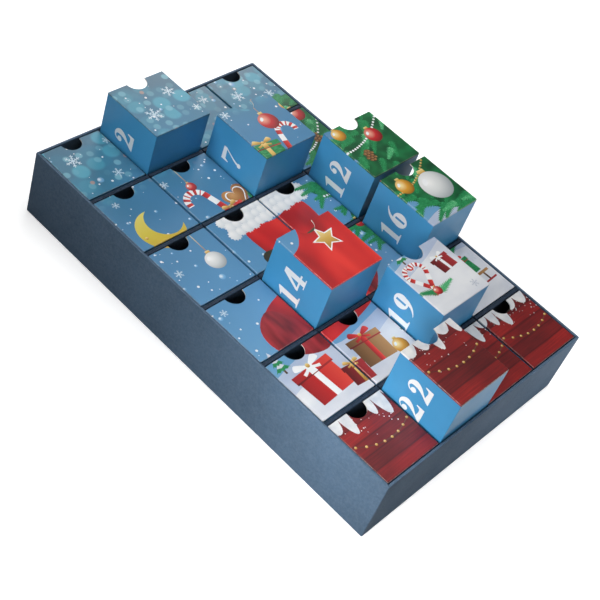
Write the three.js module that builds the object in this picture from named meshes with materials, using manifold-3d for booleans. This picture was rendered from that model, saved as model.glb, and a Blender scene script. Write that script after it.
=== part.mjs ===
// Advent calendar drawer box: a shallow paper-covered case, lying on its back, with 24 small
// folded-card drawers in six rows of four. Some drawers are part way out, the others are shut.
//
// Axes: X runs across the calendar, Y runs up it from the last row to the first, and Z points out
// of the drawer faces. The origin is the centre of the back, on the surface that the case lies on.
// All lengths are in millimetres.

import * as THREE from "three";
import { mergeVertices } from "three/addons/utils/BufferGeometryUtils.js";
import Module from "manifold-3d";

const wasm = await Module();
wasm.setup();

// Driving dimensions: the grid and one drawer
const COLUMNS = 4;
const ROWS = 6;
const DRAWER_WIDTH = 57; // along X
const DRAWER_HEIGHT = 57; // along Y
const DRAWER_DEPTH = 58.5; // along Z, from face to back
const DRAWER_CARD = 0.8;
const FOLD_RADIUS = 0.5;
const FOLD_STEPS = 3;
const THUMB_RADIUS = 9.2; // half-round thumb notch in the face's upper edge
const THUMB_STEPS = 32; // round a full circle

// Room round a shut drawer in its pocket
const SIDE_PLAY = 0.7; // each side, along X
const END_PLAY = 1.0; // each end, along Y
const REST_GAP = 0.3; // behind the drawer
const FACE_RECESS = 0.5; // the shut faces below the rim

// The egg-crate grid: thick shelves between rows, thin dividers between columns
const SHELF_CARD = 3.2;
const DIVIDER_CARD = 0.8;
const SHELF_RECESS = 0.8; // front edge below the rim
const DIVIDER_RECESS = 2;
const GRID_FLOOR_GAP = 0.3;
const GRID_END_GAP = 0.3;
const SLOT_PLAY = 0.3; // each side of a card in its halving slot

// The case: greyboard covered in paper
const WALL_BOARD = 1.4;
const BACK_BOARD = 2;
const PAPER = 0.25;
const GLUE = 0.1;
const TURN_IN = 14; // paper turned over the rim and down inside
const TURN_UNDER = 15; // paper turned under the back
const SHEET_INSET = 3; // the back sheet stops this far inside the case's edge

// Cutters run past the card by this much, and points closer than the weld are one point
const OVERRUN = 2;
const WELD = 0.0001;

// How far the open drawers stand out of their shut place, by drawer number, as a share of the
// drawer's depth
const PULLED_OUT_SHARES = new Map([
  [2, 0.65],
  [7, 0.675],
  [12, 0.745],
  [14, 0.72],
  [16, 0.76],
  [19, 0.65],
  [22, 0.71],
]);

// Sizes worked out from those above: across and along the case
const WALL_STACK = PAPER + GLUE + WALL_BOARD + GLUE + PAPER;
const COLUMN_PITCH = DRAWER_WIDTH + 2 * SIDE_PLAY + DIVIDER_CARD;
const ROW_PITCH = DRAWER_HEIGHT + 2 * END_PLAY + SHELF_CARD;
const CASE_WIDTH = COLUMNS * COLUMN_PITCH - DIVIDER_CARD + 2 * WALL_STACK;
const CASE_HEIGHT = ROWS * ROW_PITCH - SHELF_CARD + 2 * WALL_STACK;
const GRID_WIDTH = CASE_WIDTH - 2 * WALL_STACK - 2 * GRID_END_GAP;
const GRID_HEIGHT = CASE_HEIGHT - 2 * WALL_STACK - 2 * GRID_END_GAP;

// Levels above the surface that the case lies on
const FLAP_LEVEL = PAPER + GLUE;
const BOARD_LEVEL = FLAP_LEVEL + PAPER + GLUE;
const FLOOR_LEVEL = BOARD_LEVEL + BACK_BOARD;
const DRAWER_LEVEL = FLOOR_LEVEL + REST_GAP;
const RIM_LEVEL = DRAWER_LEVEL + DRAWER_DEPTH + FACE_RECESS;
const WALL_TOP = RIM_LEVEL - PAPER - GLUE;
const GRID_LEVEL = FLOOR_LEVEL + GRID_FLOOR_GAP;
const SHELF_TOP = RIM_LEVEL - SHELF_RECESS;
const DIVIDER_TOP = RIM_LEVEL - DIVIDER_RECESS;
const LAP_LEVEL = (GRID_LEVEL + DIVIDER_TOP) / 2;

// Finishes: colour, roughness and metalness of each kind of card and board
const slatePaper = finish(0x42576a, 0.85);
const slateCard = finish(0x35445a, 0.85);
const greyBoard = finish(0x8d867b, 0.95);
const blueCard = finish(0x3f86bf, 0.38);

function finish(color, roughness) {
  return { color, roughness, metalness: 0 };
}

// A closed three.js geometry as a solid that can be joined and cut
function toSolid(geometry) {
  const bare = geometry.clone();
  bare.deleteAttribute("normal");
  bare.deleteAttribute("uv");
  const merged = mergeVertices(bare, WELD);
  const vertProperties = Float32Array.from(merged.getAttribute("position").array);
  const triVerts = Uint32Array.from(merged.getIndex().array);
  return new wasm.Manifold(new wasm.Mesh({ numProp: 3, vertProperties, triVerts }));
}

// The cut solid back as a three.js geometry
function toGeometry(solid) {
  const mesh = solid.getMesh();
  const geometry = new THREE.BufferGeometry();
  geometry.setAttribute("position", new THREE.BufferAttribute(mesh.vertProperties, 3));
  geometry.setIndex(new THREE.BufferAttribute(mesh.triVerts, 1));
  geometry.computeVertexNormals();
  return geometry;
}

// A flat sheet or block, centred over x and y, with its lower face at the level given
function sheet(width, height, thickness, level) {
  return new THREE.BoxGeometry(width, height, thickness).translate(0, 0, level + thickness / 2);
}

// A rectangle centred on the origin, with the corners listed in rounded ones
function rectangle(width, height, radius = 0) {
  const shape = new THREE.Shape();
  const [x, y] = [width / 2 - radius, height / 2 - radius];
  shape.absarc(x, y, radius, 0, Math.PI / 2);
  shape.absarc(-x, y, radius, Math.PI / 2, Math.PI);
  shape.absarc(-x, -y, radius, Math.PI, 1.5 * Math.PI);
  shape.absarc(x, -y, radius, 1.5 * Math.PI, 2 * Math.PI);
  return shape;
}

// A four-sided band of paper or board between two rectangles, standing on the level given
function band(outer, inner, level, top) {
  const shape = new THREE.Shape(corners(...outer));
  shape.holes.push(new THREE.Path(corners(...inner).reverse()));
  const geometry = new THREE.ExtrudeGeometry(shape, { depth: top - level, bevelEnabled: false });
  return geometry.translate(0, 0, level);
}

function corners(width, height) {
  const [x, y] = [width / 2, height / 2];
  return [[-x, -y], [x, -y], [x, y], [-x, y]].map(([u, v]) => new THREE.Vector2(u, v));
}

// An outline drawn with its second axis upwards, extruded along Y and centred there
function extrudeAlongY(shape, length) {
  const geometry = new THREE.ExtrudeGeometry(shape, {
    depth: length,
    bevelEnabled: false,
    curveSegments: FOLD_STEPS,
  });
  return geometry.translate(0, 0, -length / 2).rotateX(Math.PI / 2);
}

// The same, extruded along X, with the outline's first axis along Y
function extrudeAlongX(shape, length) {
  return extrudeAlongY(shape, length).rotateZ(Math.PI / 2);
}

// A long card on edge with halving slots cut into its top or bottom edge
function slottedCard(length, low, high, slotCentres, slotWidth, slotEnd, openAtTop) {
  const open = openAtTop ? high : low;
  const shut = openAtTop ? low : high;
  const start = length / 2;
  const points = [[-start, shut], [-start, open]];
  for (const centre of slotCentres) {
    const [left, right] = [centre - slotWidth / 2, centre + slotWidth / 2];
    points.push([left, open], [left, slotEnd], [right, slotEnd], [right, open]);
  }
  points.push([start, open], [start, shut]);
  return new THREE.Shape(points.map(([u, v]) => new THREE.Vector2(u, v)));
}

// Where the lines between cells lie, counted from the middle of the grid
function lineCentres(cells, pitch) {
  return Array.from({ length: cells - 1 }, (_, i) => (i + 1 - cells / 2) * pitch);
}

// One drawer, centred over its pocket, with its back at level zero and its upper end open:
// face, back, two sides and bottom folded from one card, with a thumb notch in the face
function drawerTray() {
  const acrossOutline = rectangle(DRAWER_WIDTH, DRAWER_DEPTH, FOLD_RADIUS);
  const across = toSolid(extrudeAlongY(acrossOutline, DRAWER_HEIGHT));

  // the second outline is taller, so that only its bottom folds are rounded
  const sideHeight = DRAWER_HEIGHT + 2 * FOLD_RADIUS;
  const side = extrudeAlongX(rectangle(sideHeight, DRAWER_DEPTH, FOLD_RADIUS), DRAWER_WIDTH);
  const outer = across.intersect(toSolid(side.translate(0, FOLD_RADIUS, 0)));

  const room = new THREE.BoxGeometry(
    DRAWER_WIDTH - 2 * DRAWER_CARD,
    DRAWER_HEIGHT - DRAWER_CARD + OVERRUN,
    DRAWER_DEPTH - 2 * DRAWER_CARD,
  ).translate(0, (DRAWER_CARD + OVERRUN) / 2, 0);

  const thumbLength = DRAWER_CARD + 2 * OVERRUN;
  const thumb = new THREE.CylinderGeometry(THUMB_RADIUS, THUMB_RADIUS, thumbLength, THUMB_STEPS)
    .rotateX(Math.PI / 2)
    .translate(0, DRAWER_HEIGHT / 2, (DRAWER_DEPTH - DRAWER_CARD) / 2);

  const tray = outer.subtract(toSolid(room)).subtract(toSolid(thumb));
  return toGeometry(tray).translate(0, 0, DRAWER_DEPTH / 2);
}

// The paper cover: outside of the walls, over the rim, down inside, and under the back
function paperCover() {
  const outside = [CASE_WIDTH, CASE_HEIGHT];
  const inset = (amount) => outside.map((side) => side - 2 * amount);
  const bands = [
    band(outside, inset(PAPER), FLAP_LEVEL, RIM_LEVEL),
    band(outside, inset(WALL_STACK), RIM_LEVEL - PAPER, RIM_LEVEL),
    band(inset(WALL_STACK - PAPER), inset(WALL_STACK), RIM_LEVEL - TURN_IN, RIM_LEVEL),
    band(outside, inset(TURN_UNDER), FLAP_LEVEL, FLAP_LEVEL + PAPER),
  ];
  return toGeometry(bands.map(toSolid).reduce((joined, piece) => joined.add(piece)));
}

const calendar = new THREE.Group();
const casing = new THREE.Group();
const grid = new THREE.Group();
const drawers = new THREE.Group();
calendar.add(casing, grid, drawers);

function addPiece(group, name, geometry, look, position = [0, 0, 0]) {
  const mesh = new THREE.Mesh(geometry, new THREE.MeshStandardMaterial(look));
  mesh.name = name;
  mesh.position.set(...position);
  group.add(mesh);
}

// The case, from the back forwards
const boardInset = PAPER + GLUE;
const wallSpanX = CASE_WIDTH - 2 * boardInset;
const wallSpanY = CASE_HEIGHT - 2 * boardInset;
const floorWidth = wallSpanX - 2 * (WALL_BOARD + GLUE);
const floorHeight = wallSpanY - 2 * (WALL_BOARD + GLUE);
const wallDepth = WALL_TOP - BOARD_LEVEL;
const sideWallX = (wallSpanX - WALL_BOARD) / 2;
const endWallY = (wallSpanY - WALL_BOARD) / 2;
const sideWall = sheet(WALL_BOARD, wallSpanY, wallDepth, BOARD_LEVEL);
const endWall = sheet(floorWidth, WALL_BOARD, wallDepth, BOARD_LEVEL);

const sheetWidth = CASE_WIDTH - 2 * SHEET_INSET;
const sheetHeight = CASE_HEIGHT - 2 * SHEET_INSET;
addPiece(casing, "back_sheet", sheet(sheetWidth, sheetHeight, PAPER, 0), slatePaper);
addPiece(casing, "paper_cover", paperCover(), slatePaper);
addPiece(casing, "back_board", sheet(floorWidth, floorHeight, BACK_BOARD, BOARD_LEVEL), greyBoard);
addPiece(casing, "left_wall", sideWall, greyBoard, [-sideWallX, 0, 0]);
addPiece(casing, "right_wall", sideWall, greyBoard, [sideWallX, 0, 0]);
addPiece(casing, "bottom_wall", endWall, greyBoard, [0, -endWallY, 0]);
addPiece(casing, "top_wall", endWall, greyBoard, [0, endWallY, 0]);

// The shelves are slotted from the front and the dividers from the back, so that they lap
const columnLines = lineCentres(COLUMNS, COLUMN_PITCH);
const rowLines = lineCentres(ROWS, ROW_PITCH);
const dividerSlot = DIVIDER_CARD + 2 * SLOT_PLAY;
const shelfSlot = SHELF_CARD + 2 * SLOT_PLAY;
const shelfOutline = slottedCard(
  GRID_WIDTH, GRID_LEVEL, SHELF_TOP, columnLines, dividerSlot, LAP_LEVEL, true,
);
const dividerOutline = slottedCard(
  GRID_HEIGHT, GRID_LEVEL, DIVIDER_TOP, rowLines, shelfSlot, LAP_LEVEL + SLOT_PLAY, false,
);
const shelf = extrudeAlongY(shelfOutline, SHELF_CARD);
const divider = extrudeAlongX(dividerOutline, DIVIDER_CARD);
[...rowLines].reverse().forEach((y, i) => {
  addPiece(grid, `shelf_${i + 1}`, shelf, slateCard, [0, y, 0]);
});
columnLines.forEach((x, i) => {
  addPiece(grid, `divider_${i + 1}`, divider, slateCard, [x, 0, 0]);
});

// The drawers, numbered along each row from the top left
const tray = drawerTray();
for (let row = 0; row < ROWS; row += 1) {
  for (let column = 0; column < COLUMNS; column += 1) {
    const number = row * COLUMNS + column + 1;
    const x = (column - (COLUMNS - 1) / 2) * COLUMN_PITCH;
    const y = ((ROWS - 1) / 2 - row) * ROW_PITCH;
    const z = DRAWER_LEVEL + (PULLED_OUT_SHARES.get(number) ?? 0) * DRAWER_DEPTH;
    addPiece(drawers, `drawer_${String(number).padStart(2, "0")}`, tray, blueCard, [x, y, z]);
  }
}

export default calendar;
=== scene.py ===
"""Advent calendar drawer box: printed card drawers in a paper-covered case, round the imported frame.

Lengths are millimetres in the frame's own axes: X runs across the calendar, Y up it and Z out of the
drawer faces. Angles are degrees. The picture is drawn on X and Y, flat on the drawer faces, and the
proportions inside an emblem are shares of its size.
"""

import logging
import math
import random
from collections.abc import Iterable, Sequence
from dataclasses import KW_ONLY, dataclass, field
from enum import Enum
from functools import cached_property
from typing import NamedTuple

import bmesh
import bpy
from bpy.types import Camera, Light, Material, Node, NodeSocket, Object, World
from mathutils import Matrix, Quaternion, Vector
from mathutils.geometry import delaunay_2d_cdt


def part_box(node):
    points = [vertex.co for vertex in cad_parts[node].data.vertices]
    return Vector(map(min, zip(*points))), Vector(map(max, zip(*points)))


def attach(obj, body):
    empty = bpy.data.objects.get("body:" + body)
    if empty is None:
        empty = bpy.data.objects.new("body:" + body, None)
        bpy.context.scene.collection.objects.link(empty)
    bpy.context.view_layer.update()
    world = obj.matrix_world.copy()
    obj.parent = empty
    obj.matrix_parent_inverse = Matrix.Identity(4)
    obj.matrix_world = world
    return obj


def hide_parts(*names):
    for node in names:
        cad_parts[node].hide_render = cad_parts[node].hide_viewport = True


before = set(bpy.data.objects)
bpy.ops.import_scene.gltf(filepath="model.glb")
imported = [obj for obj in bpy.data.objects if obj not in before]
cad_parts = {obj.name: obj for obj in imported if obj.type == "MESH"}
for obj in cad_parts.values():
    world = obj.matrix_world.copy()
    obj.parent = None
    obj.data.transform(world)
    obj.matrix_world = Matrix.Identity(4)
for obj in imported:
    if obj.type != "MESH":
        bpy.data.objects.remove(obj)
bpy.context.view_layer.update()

MM = 0.001
DRAWERS = 24
WELD = 1e-5  # points of a print that lie closer than this are one point
SAME_PLACE = 1e-3  # points of a mesh that lie closer than this stand in one place
INSIDE = 4  # what delaunay_2d_cdt calls keeping only the faces inside an outline
NOISE_LOW, NOISE_HIGH = 0.3, 0.7  # nearly all of a noise texture lies between these
NOISE_DETAIL = 3.0  # how many times over, each time finer, a noise is laid
SHADING = "shading"  # the UV map that the shading of a printed shape follows
RUBBED_AND_HIGHLIGHT = "rubbed"  # the attribute that says how rubbed a point is, up to one; along the drawers' folds it also lays a painted highlight
WHITE = "#ffffff"

Point = tuple[float, float]
Point3 = tuple[float, float, float]
Outline = list[Point]
Stops = tuple[tuple[float, str], ...]


def linear(code: str) -> tuple[float, float, float, float]:
    """Turns an sRGB hex colour into linear light, by the standard's own curve.

    Args:
        code: The colour, such as "#42576a".

    Returns:
        Red, green, blue and an alpha of one.
    """
    channels = [int(code[i : i + 2], 16) / 255 for i in (1, 3, 5)]
    lit = [c / 12.92 if c <= 0.04045 else ((c + 0.055) / 1.055) ** 2.4 for c in channels]
    return (*lit, 1.0)


@dataclass
class Shader:
    """The node tree of a material or a world, emptied to be filled."""

    owner: Material | World

    def __post_init__(self) -> None:
        """Empties the owner's tree."""
        self.owner.use_nodes = True
        self.owner.node_tree.nodes.clear()

    def add(self, kind: str, sockets: dict | None = None, **settings: object) -> Node:
        """Adds one node with its settings and what goes into its sockets.

        Args:
            kind: The node's type, without the ShaderNode in front.
            sockets: By input name or number, a value, a socket, or a node whose first output is used.
            settings: The node's own properties, and stops for a ramp's places and colours.

        Returns:
            The new node.
        """
        node = self.owner.node_tree.nodes.new("ShaderNode" + kind)
        stops = settings.pop("stops", ())
        for name, value in settings.items():
            setattr(node, name, value)
        for name, value in (sockets or {}).items():
            source = value.outputs[0] if isinstance(value, Node) else value
            if isinstance(source, NodeSocket):
                self.owner.node_tree.links.new(source, node.inputs[name])
            else:
                node.inputs[name].default_value = source
        for number, (place, code) in enumerate(stops):
            if number >= len(node.color_ramp.elements):
                node.color_ramp.elements.new(1.0)
            node.color_ramp.elements[number].position = place
            node.color_ramp.elements[number].color = linear(code)
        return node

    @cached_property
    def place(self) -> NodeSocket:
        """The place on the surface, in metres."""
        return self.add("TexCoord").outputs["Object"]

    def speckle(self, size: float, low: float = 0.0, high: float = 1.0, along: float = 1.0) -> Node:
        """Lays soft patches that fill the range given.

        Args:
            size: Size of a patch.
            low: The value in the hollows.
            high: The value on the crests.
            along: How many times longer a patch is along X.

        Returns:
            The node that gives the value.
        """
        drawn = self.add("Mapping", {"Vector": self.place, "Scale": (1 / along, 1.0, 1.0)})
        noise = self.add("TexNoise", {
            "Vector": drawn, "Scale": 1 / (size * MM), "Detail": NOISE_DETAIL,
        })
        return self.add("MapRange", {
            "Value": noise, "From Min": NOISE_LOW, "From Max": NOISE_HIGH,
            "To Min": low, "To Max": high,
        })


# Finishes


@dataclass(frozen=True)
class Finish:
    """A surface with its own colour and a fine relief, handled here and there and rubbed at edges; on
    the drawers' folds the pale rubbed colour is also a painted highlight.
    """

    name: str
    _: KW_ONLY
    worn: str = "#f3f1ee"  # the colour that shows where it is rubbed, and on the drawers' folds a painted highlight as well
    chips: float = 2.2  # size of the rubbed spots
    roughness: float = 0.8
    handled: float = 0.06  # how far handling takes the roughness either way
    touch: float = 18.0  # size of the handled patches
    grain: float = 0.7  # size of the relief's bumps
    relief: float = 0.02  # their height
    ior: float = 1.5
    specular: float = 0.35  # how strongly the bare surface mirrors, where half is a closed one
    film: float = 0.0  # weight of a clear film over it
    film_roughness: float = 0.36

    def colour(self, on: Shader) -> Node:
        """Lays the surface's own colour on a material's shader, as the node that gives it."""
        raise NotImplementedError

    def material(self) -> Material:
        """Makes the material at its first use, and finds it again after that.

        Returns:
            The material.
        """
        if self.name in bpy.data.materials:
            return bpy.data.materials[self.name]
        made = bpy.data.materials.new(self.name)
        on = Shader(made)
        # pale where rubbed: real wear, and along the drawers' folds also a painted highlight
        rubbed = on.add("Attribute", attribute_name=RUBBED_AND_HIGHLIGHT).outputs["Fac"]
        chipped = on.add("Math", {0: rubbed, 1: on.speckle(self.chips)}, operation="MULTIPLY")
        surface = on.add("BsdfPrincipled", {
            "Base Color": on.add("MixRGB", {
                "Fac": chipped, "Color1": self.colour(on), "Color2": linear(self.worn),
            }),
            "Roughness": on.speckle(
                self.touch, self.roughness - self.handled, self.roughness + self.handled
            ),
            "Normal": on.add("Bump", {
                "Height": on.speckle(self.grain), "Distance": self.relief * MM,
            }),
            "IOR": self.ior,
            "Specular IOR Level": self.specular,
            "Coat Weight": self.film,
            "Coat Roughness": self.film_roughness,
        })
        on.add("OutputMaterial", {"Surface": surface})
        return made


@dataclass(frozen=True)
class Board(Finish):
    """Paper or board dyed in the pulp: flecked with fibres and a little clouded."""

    tones: tuple[str, str]  # its darker and its lighter fibres
    _: KW_ONLY
    fibre: float = 0.9  # length of a fleck
    cloud: float = 40.0  # width of the uneven patches
    weight: float = 0.5  # how much of the tone the flecks make, and the clouds as much

    def colour(self, on: Shader) -> Node:
        """Lays flecks over clouds.

        Args:
            on: The material's shader.

        Returns:
            The node that gives the colour.
        """
        flecks, clouds = on.speckle(self.fibre), on.speckle(self.cloud, 0.0, self.weight)
        tone = on.add("Math", {0: flecks, 1: self.weight, 2: clouds}, operation="MULTIPLY_ADD")
        return on.add("ValToRGB", {"Fac": tone}, stops=zip((0.0, 1.0), self.tones))


@dataclass(frozen=True)
class Print(Finish):
    """Offset ink on white boxboard under a satin film, cracked to the white along the folds, where the
    pale line is also a painted highlight.
    """

    _: KW_ONLY
    roughness: float = 0.46
    grain: float = 1.3
    relief: float = 0.008
    specular: float = 0.15
    film: float = 0.7


@dataclass(frozen=True)
class Solid(Print):
    """One ink over a large area, in patches a little deeper and thinner."""

    tones: tuple[str, str]  # the ink where it lies deep and where it lies thin
    _: KW_ONLY
    patch: float = 26.0
    along: float = 1.0  # how many times longer a patch is along X

    def colour(self, on: Shader) -> Node:
        """Lays the patches."""
        level = on.speckle(self.patch, along=self.along)
        return on.add("ValToRGB", {"Fac": level}, stops=zip((0.0, 1.0), self.tones))


class Shade(Enum):
    """How an ink's tone runs over one printed shape."""

    FLAT = 14.0  # width of its faint patches
    BALL = (-0.32, 0.36, 0.0)  # where its light falls
    ACROSS = "X"
    UP = "Y"
    FOLDS = (2.6, 0.9, 1.0)  # how often they repeat over the shape
    NEEDLES = (3.0, 9.0, 1.0)


@dataclass(frozen=True)
class Ink(Print):
    """A drawn shape's ink."""

    tones: tuple[str, str, str]  # in the shadows, its own colour, and in the lights
    shade: Shade = Shade.FLAT
    ball_dark: float = 1.5  # how far from the light a ball is all dark
    line_detail: float = 1.0  # folds and needles are laid once

    def tone(self, on: Shader) -> Node:
        """Lays the tone.

        Args:
            on: The material's shader.

        Returns:
            The node that runs from zero in the shadows to one in the lights.
        """
        how = self.shade.value
        if self.shade is Shade.FLAT:
            return on.speckle(how)
        drawn = on.add("UVMap", uv_map=SHADING).outputs[0]
        match self.shade:
            case Shade.BALL:
                run = on.add("VectorMath", {0: drawn, 1: how}, operation="DISTANCE").outputs["Value"]
                dark, light = self.ball_dark, 0.0
            case Shade.ACROSS | Shade.UP:
                run = on.add("SeparateXYZ", {0: drawn}).outputs[how]
                dark, light = -1.0, 1.0
            case Shade.FOLDS | Shade.NEEDLES:
                lines = on.add("Mapping", {"Vector": drawn, "Scale": how})
                run = on.add("TexNoise", {
                    "Vector": lines, "Scale": 1.0, "Detail": self.line_detail,
                })
                dark, light = NOISE_LOW, NOISE_HIGH
        return on.add("MapRange", {"Value": run, "From Min": dark, "From Max": light})

    def colour(self, on: Shader) -> Node:
        """Mixes the three tones along the shape."""
        return on.add("ValToRGB", {"Fac": self.tone(on)}, stops=zip((0.0, 0.5, 1.0), self.tones))


class Lights(NamedTuple):
    """One layer of the sky's soft round lights."""

    spacing: float
    share: float  # their radius as a share of the spacing
    code: str


@dataclass(frozen=True)
class SkyPrint(Print):
    """The picture's sky: dusk over day, with soft round lights out of focus in the dusk."""

    _: KW_ONLY
    foot: float = -70.0
    head: float = 187.0
    tones: Stops = (
        (0.0, "#6ea4cc"), (0.3, "#5a94c0"), (0.62, "#4c86b0"), (0.82, "#4581a1"), (1.0, "#527a91"),
    )
    cloud: float = 55.0  # width of the clouds
    drift: float = 0.08  # how far they carry the tones up or down, as a share of the sky
    lights: tuple[Lights, ...] = (
        Lights(31.0, 0.42, "#3f9ab8"), Lights(19.0, 0.36, "#5cb6cd"), Lights(11.0, 0.26, "#86c2d2"),
        Lights(23.0, 0.08, "#d09a80"),
    )
    blur: Point = (1.25, 0.8)  # where a light starts and is full, in its radii
    scatter: float = 0.62  # how far they stray from an even grid
    chance: float = 0.25  # share of the lights that stay dark
    brightest: float = 0.8
    lights_from: float = 112.0  # height where the lights begin
    fade: float = 22.0  # height over which they come up

    def colour(self, on: Shader) -> Node:
        """Lays the layers of lights over a clouded run of the sky's tones.

        Args:
            on: The material's shader.

        Returns:
            The node that gives the colour.
        """
        height = on.add("SeparateXYZ", {0: on.place}).outputs["Y"]
        rise = on.add("MapRange", {
            "Value": height, "From Min": self.foot * MM, "From Max": self.head * MM,
        })
        clouds = on.speckle(self.cloud, -self.drift, self.drift)
        sky = on.add("ValToRGB", {
            "Fac": on.add("Math", {0: rise, 1: clouds}, operation="ADD"),
        }, stops=self.tones)
        dusk = on.add("MapRange", {
            "Value": height, "From Min": self.lights_from * MM,
            "From Max": (self.lights_from + self.fade) * MM,
        })
        for spacing, share, code in self.lights:
            cells = on.add("TexVoronoi", {
                "Vector": on.place, "Scale": 1 / (spacing * MM), "Randomness": self.scatter,
            }, voronoi_dimensions="2D")
            disc = on.add("MapRange", {
                "Value": cells, "From Min": share * self.blur[0], "From Max": share * self.blur[1],
            }, interpolation_type="SMOOTHSTEP")
            shown = on.add("MapRange", {
                "Value": on.add("SeparateColor", {0: cells.outputs["Color"]}),
                "From Min": self.chance, "From Max": 1.0, "To Max": self.brightest,
            })
            level = on.add("Math", {0: disc, 1: shown}, operation="MULTIPLY")
            level = on.add("Math", {0: level, 1: dusk}, operation="MULTIPLY")
            sky = on.add("MixRGB", {"Fac": level, "Color1": sky, "Color2": linear(code)})
        return sky


@dataclass(frozen=True)
class PlankPrint(Print):
    """The picture's painted planks: red boards along X, with dark gaps, streaks and stains."""

    _: KW_ONLY
    tones: Stops = ((0.0, "#571d1f"), (0.45, "#7a2224"), (0.75, "#932525"), (1.0, "#ab2b28"))
    gap_tone: str = "#45191d"
    gap_depth: float = 0.75  # how far the gap's colour covers the wood in its middle
    board: float = 11.5
    gap: float = 1.2
    streak: float = 0.8  # width of a streak of the grain
    run: float = 33.0  # how many times longer a streak is
    stain: float = 38.0
    tint: float = 0.5  # how much of the tone differs from board to board
    streak_tint: Point = (0.0, 0.4)  # what the grain adds to the tone
    stain_tint: Point = (-0.1, 0.3)

    def colour(self, on: Shader) -> Node:
        """Lays the grain with each board's own tint, and the gaps.

        Args:
            on: The material's shader.

        Returns:
            The node that gives the colour.
        """
        height = on.add("SeparateXYZ", {0: on.place}).outputs["Y"]
        count = on.add("Math", {0: height, 1: 1 / (self.board * MM)}, operation="MULTIPLY")
        number = on.add("Math", {0: count}, operation="FLOOR")
        tint = on.add("TexWhiteNoise", {"W": number}, noise_dimensions="1D").outputs["Value"]
        level = on.add("Math", {
            0: on.speckle(self.streak, *self.streak_tint, along=self.run),
            1: on.speckle(self.stain, *self.stain_tint),
        }, operation="ADD")
        level = on.add("Math", {0: tint, 1: self.tint, 2: level}, operation="MULTIPLY_ADD")
        wood = on.add("ValToRGB", {"Fac": level}, stops=self.tones)
        part = on.add("Math", {0: count}, operation="FRACT")
        off = on.add("Math", {0: part, 1: 0.5}, operation="SUBTRACT")
        edge = on.add("MapRange", {
            "Value": on.add("Math", {0: off}, operation="ABSOLUTE"),
            "From Min": 0.5 - self.gap / self.board, "From Max": 0.5, "To Max": self.gap_depth,
        })
        return on.add("MixRGB", {"Fac": edge, "Color1": wood, "Color2": linear(self.gap_tone)})


# Uncoated dyed paper pasted over board: dull, with a felt grain that is drawn twice as coarse as
# the real one so that it shows
COVER_PAPER = Board(
    "slate_dyed_paper", ("#455b71", "#536d87"), worn="#8b9dad", roughness=0.72, grain=0.6, relief=0.03
)
# The same dye in the grid's card: dull and darker, paler where its front edge is rubbed
GRID_CARD = Board(
    "slate_dyed_card", ("#152435", "#1f3145"), worn="#4a5e73", roughness=0.7, grain=0.6, relief=0.03
)
# Recycled greyboard: warm grey and rough, with long fibres
GREYBOARD = Board(
    "recycled_greyboard", ("#7a7469", "#989084"), roughness=0.92, grain=0.5, relief=0.05, fibre=1.4
)
# The unprinted inner side of folding boxboard: creamy and dull
BARE_CARD = Board("bare_boxboard", ("#cfcac2", "#dedad3"), roughness=0.85, grain=0.5, fibre=1.1)
# Boxboard cut by a steel rule: a line of white fibres
CUT_CARD = Board(
    "cut_boxboard_edge", ("#d3cdc4", "#ece8e1"), roughness=0.9, grain=0.3, relief=0.03, fibre=0.5
)

# Film-laminated offset print: clean colour under a soft gloss. First the large solids: the drawers'
# blue sides, the numbers left white in them, and the picture's snow
BLUE_SIDE = Solid("laminated_blue_print", ("#4297ca", "#479cd0"))
NUMBER_WHITE = Solid("laminated_bare_white", ("#e9eff3", "#f4f7f8"))
SNOW = Solid("laminated_snow_print", ("#c9cfdc", "#eef0f3"), patch=30.0, along=1.8)
FAR_SNOW = Solid("laminated_far_snow_print", ("#aebdd6", "#ccd6e6"), patch=30.0, along=1.8)
EDGE_SNOW = Solid("laminated_edge_snow_print", ("#d5d9df", "#f6f5f3"), patch=9.0)
SKY = SkyPrint("laminated_sky_print")
PLANKS = PlankPrint("laminated_plank_print")

# Then the drawn shapes' inks, under the same film
RED_KNIT = Ink("laminated_red_knit_ink", ("#8c1c22", "#cf2a2b", "#ee3f37"), Shade.FOLDS)
DARK_KNIT = Ink("laminated_dark_knit_ink", ("#5f1619", "#8e2327", "#ac3033"), Shade.FOLDS)
RED_TRIM = Ink("laminated_dark_red_ink", ("#5f1619", "#8e2327", "#ac3033"), Shade.ACROSS)
RED_PAPER = Ink("laminated_red_ink", ("#9d1f22", "#c92a29", "#e44a3c"), Shade.ACROSS)
RED_GLASS = Ink("laminated_red_glass_ink", ("#6d1115", "#c8262a", "#f7b9a0"), Shade.BALL)
GOLD_GLASS = Ink("laminated_gold_glass_ink", ("#8f5a14", "#dd9f32", "#fdf0b4"), Shade.BALL)
SILVER_GLASS = Ink("laminated_silver_glass_ink", ("#98a1a6", "#dcdfde", "#fbfbf9"), Shade.BALL)
GOLD_FOIL = Ink("laminated_gold_ink", ("#a9772a", "#dcb45c", "#f6e3a4"), Shade.UP)
MOON_YELLOW = Ink("laminated_yellow_ink", ("#c9a32c", "#dcc845", "#efe27a"), Shade.UP)
WHITE_FUR = Ink("laminated_fur_ink", ("#cdd4db", "#eaedef", "#fbfbfa"), Shade.BALL)
FLAKE_WHITE = Ink("laminated_flake_ink", ("#bcd6e4", "#cfe2ec", "#e3eff4"))
FLAKE_GREY = Ink("laminated_grey_ink", ("#b3bccb", "#c3cad6", "#d2d8e1"))
PURE_WHITE = Ink("laminated_white_ink", ("#f0f3f5", "#f6f8f9", "#fcfdfd"))
GLOW = Ink("laminated_glow_ink", ("#5a9ccb", "#86b9db", "#f2f8fb"), Shade.BALL)
FIR_DEEP = Ink("laminated_deep_fir_ink", ("#0d4a2c", "#156338", "#1d7a46"), Shade.NEEDLES)
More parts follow.
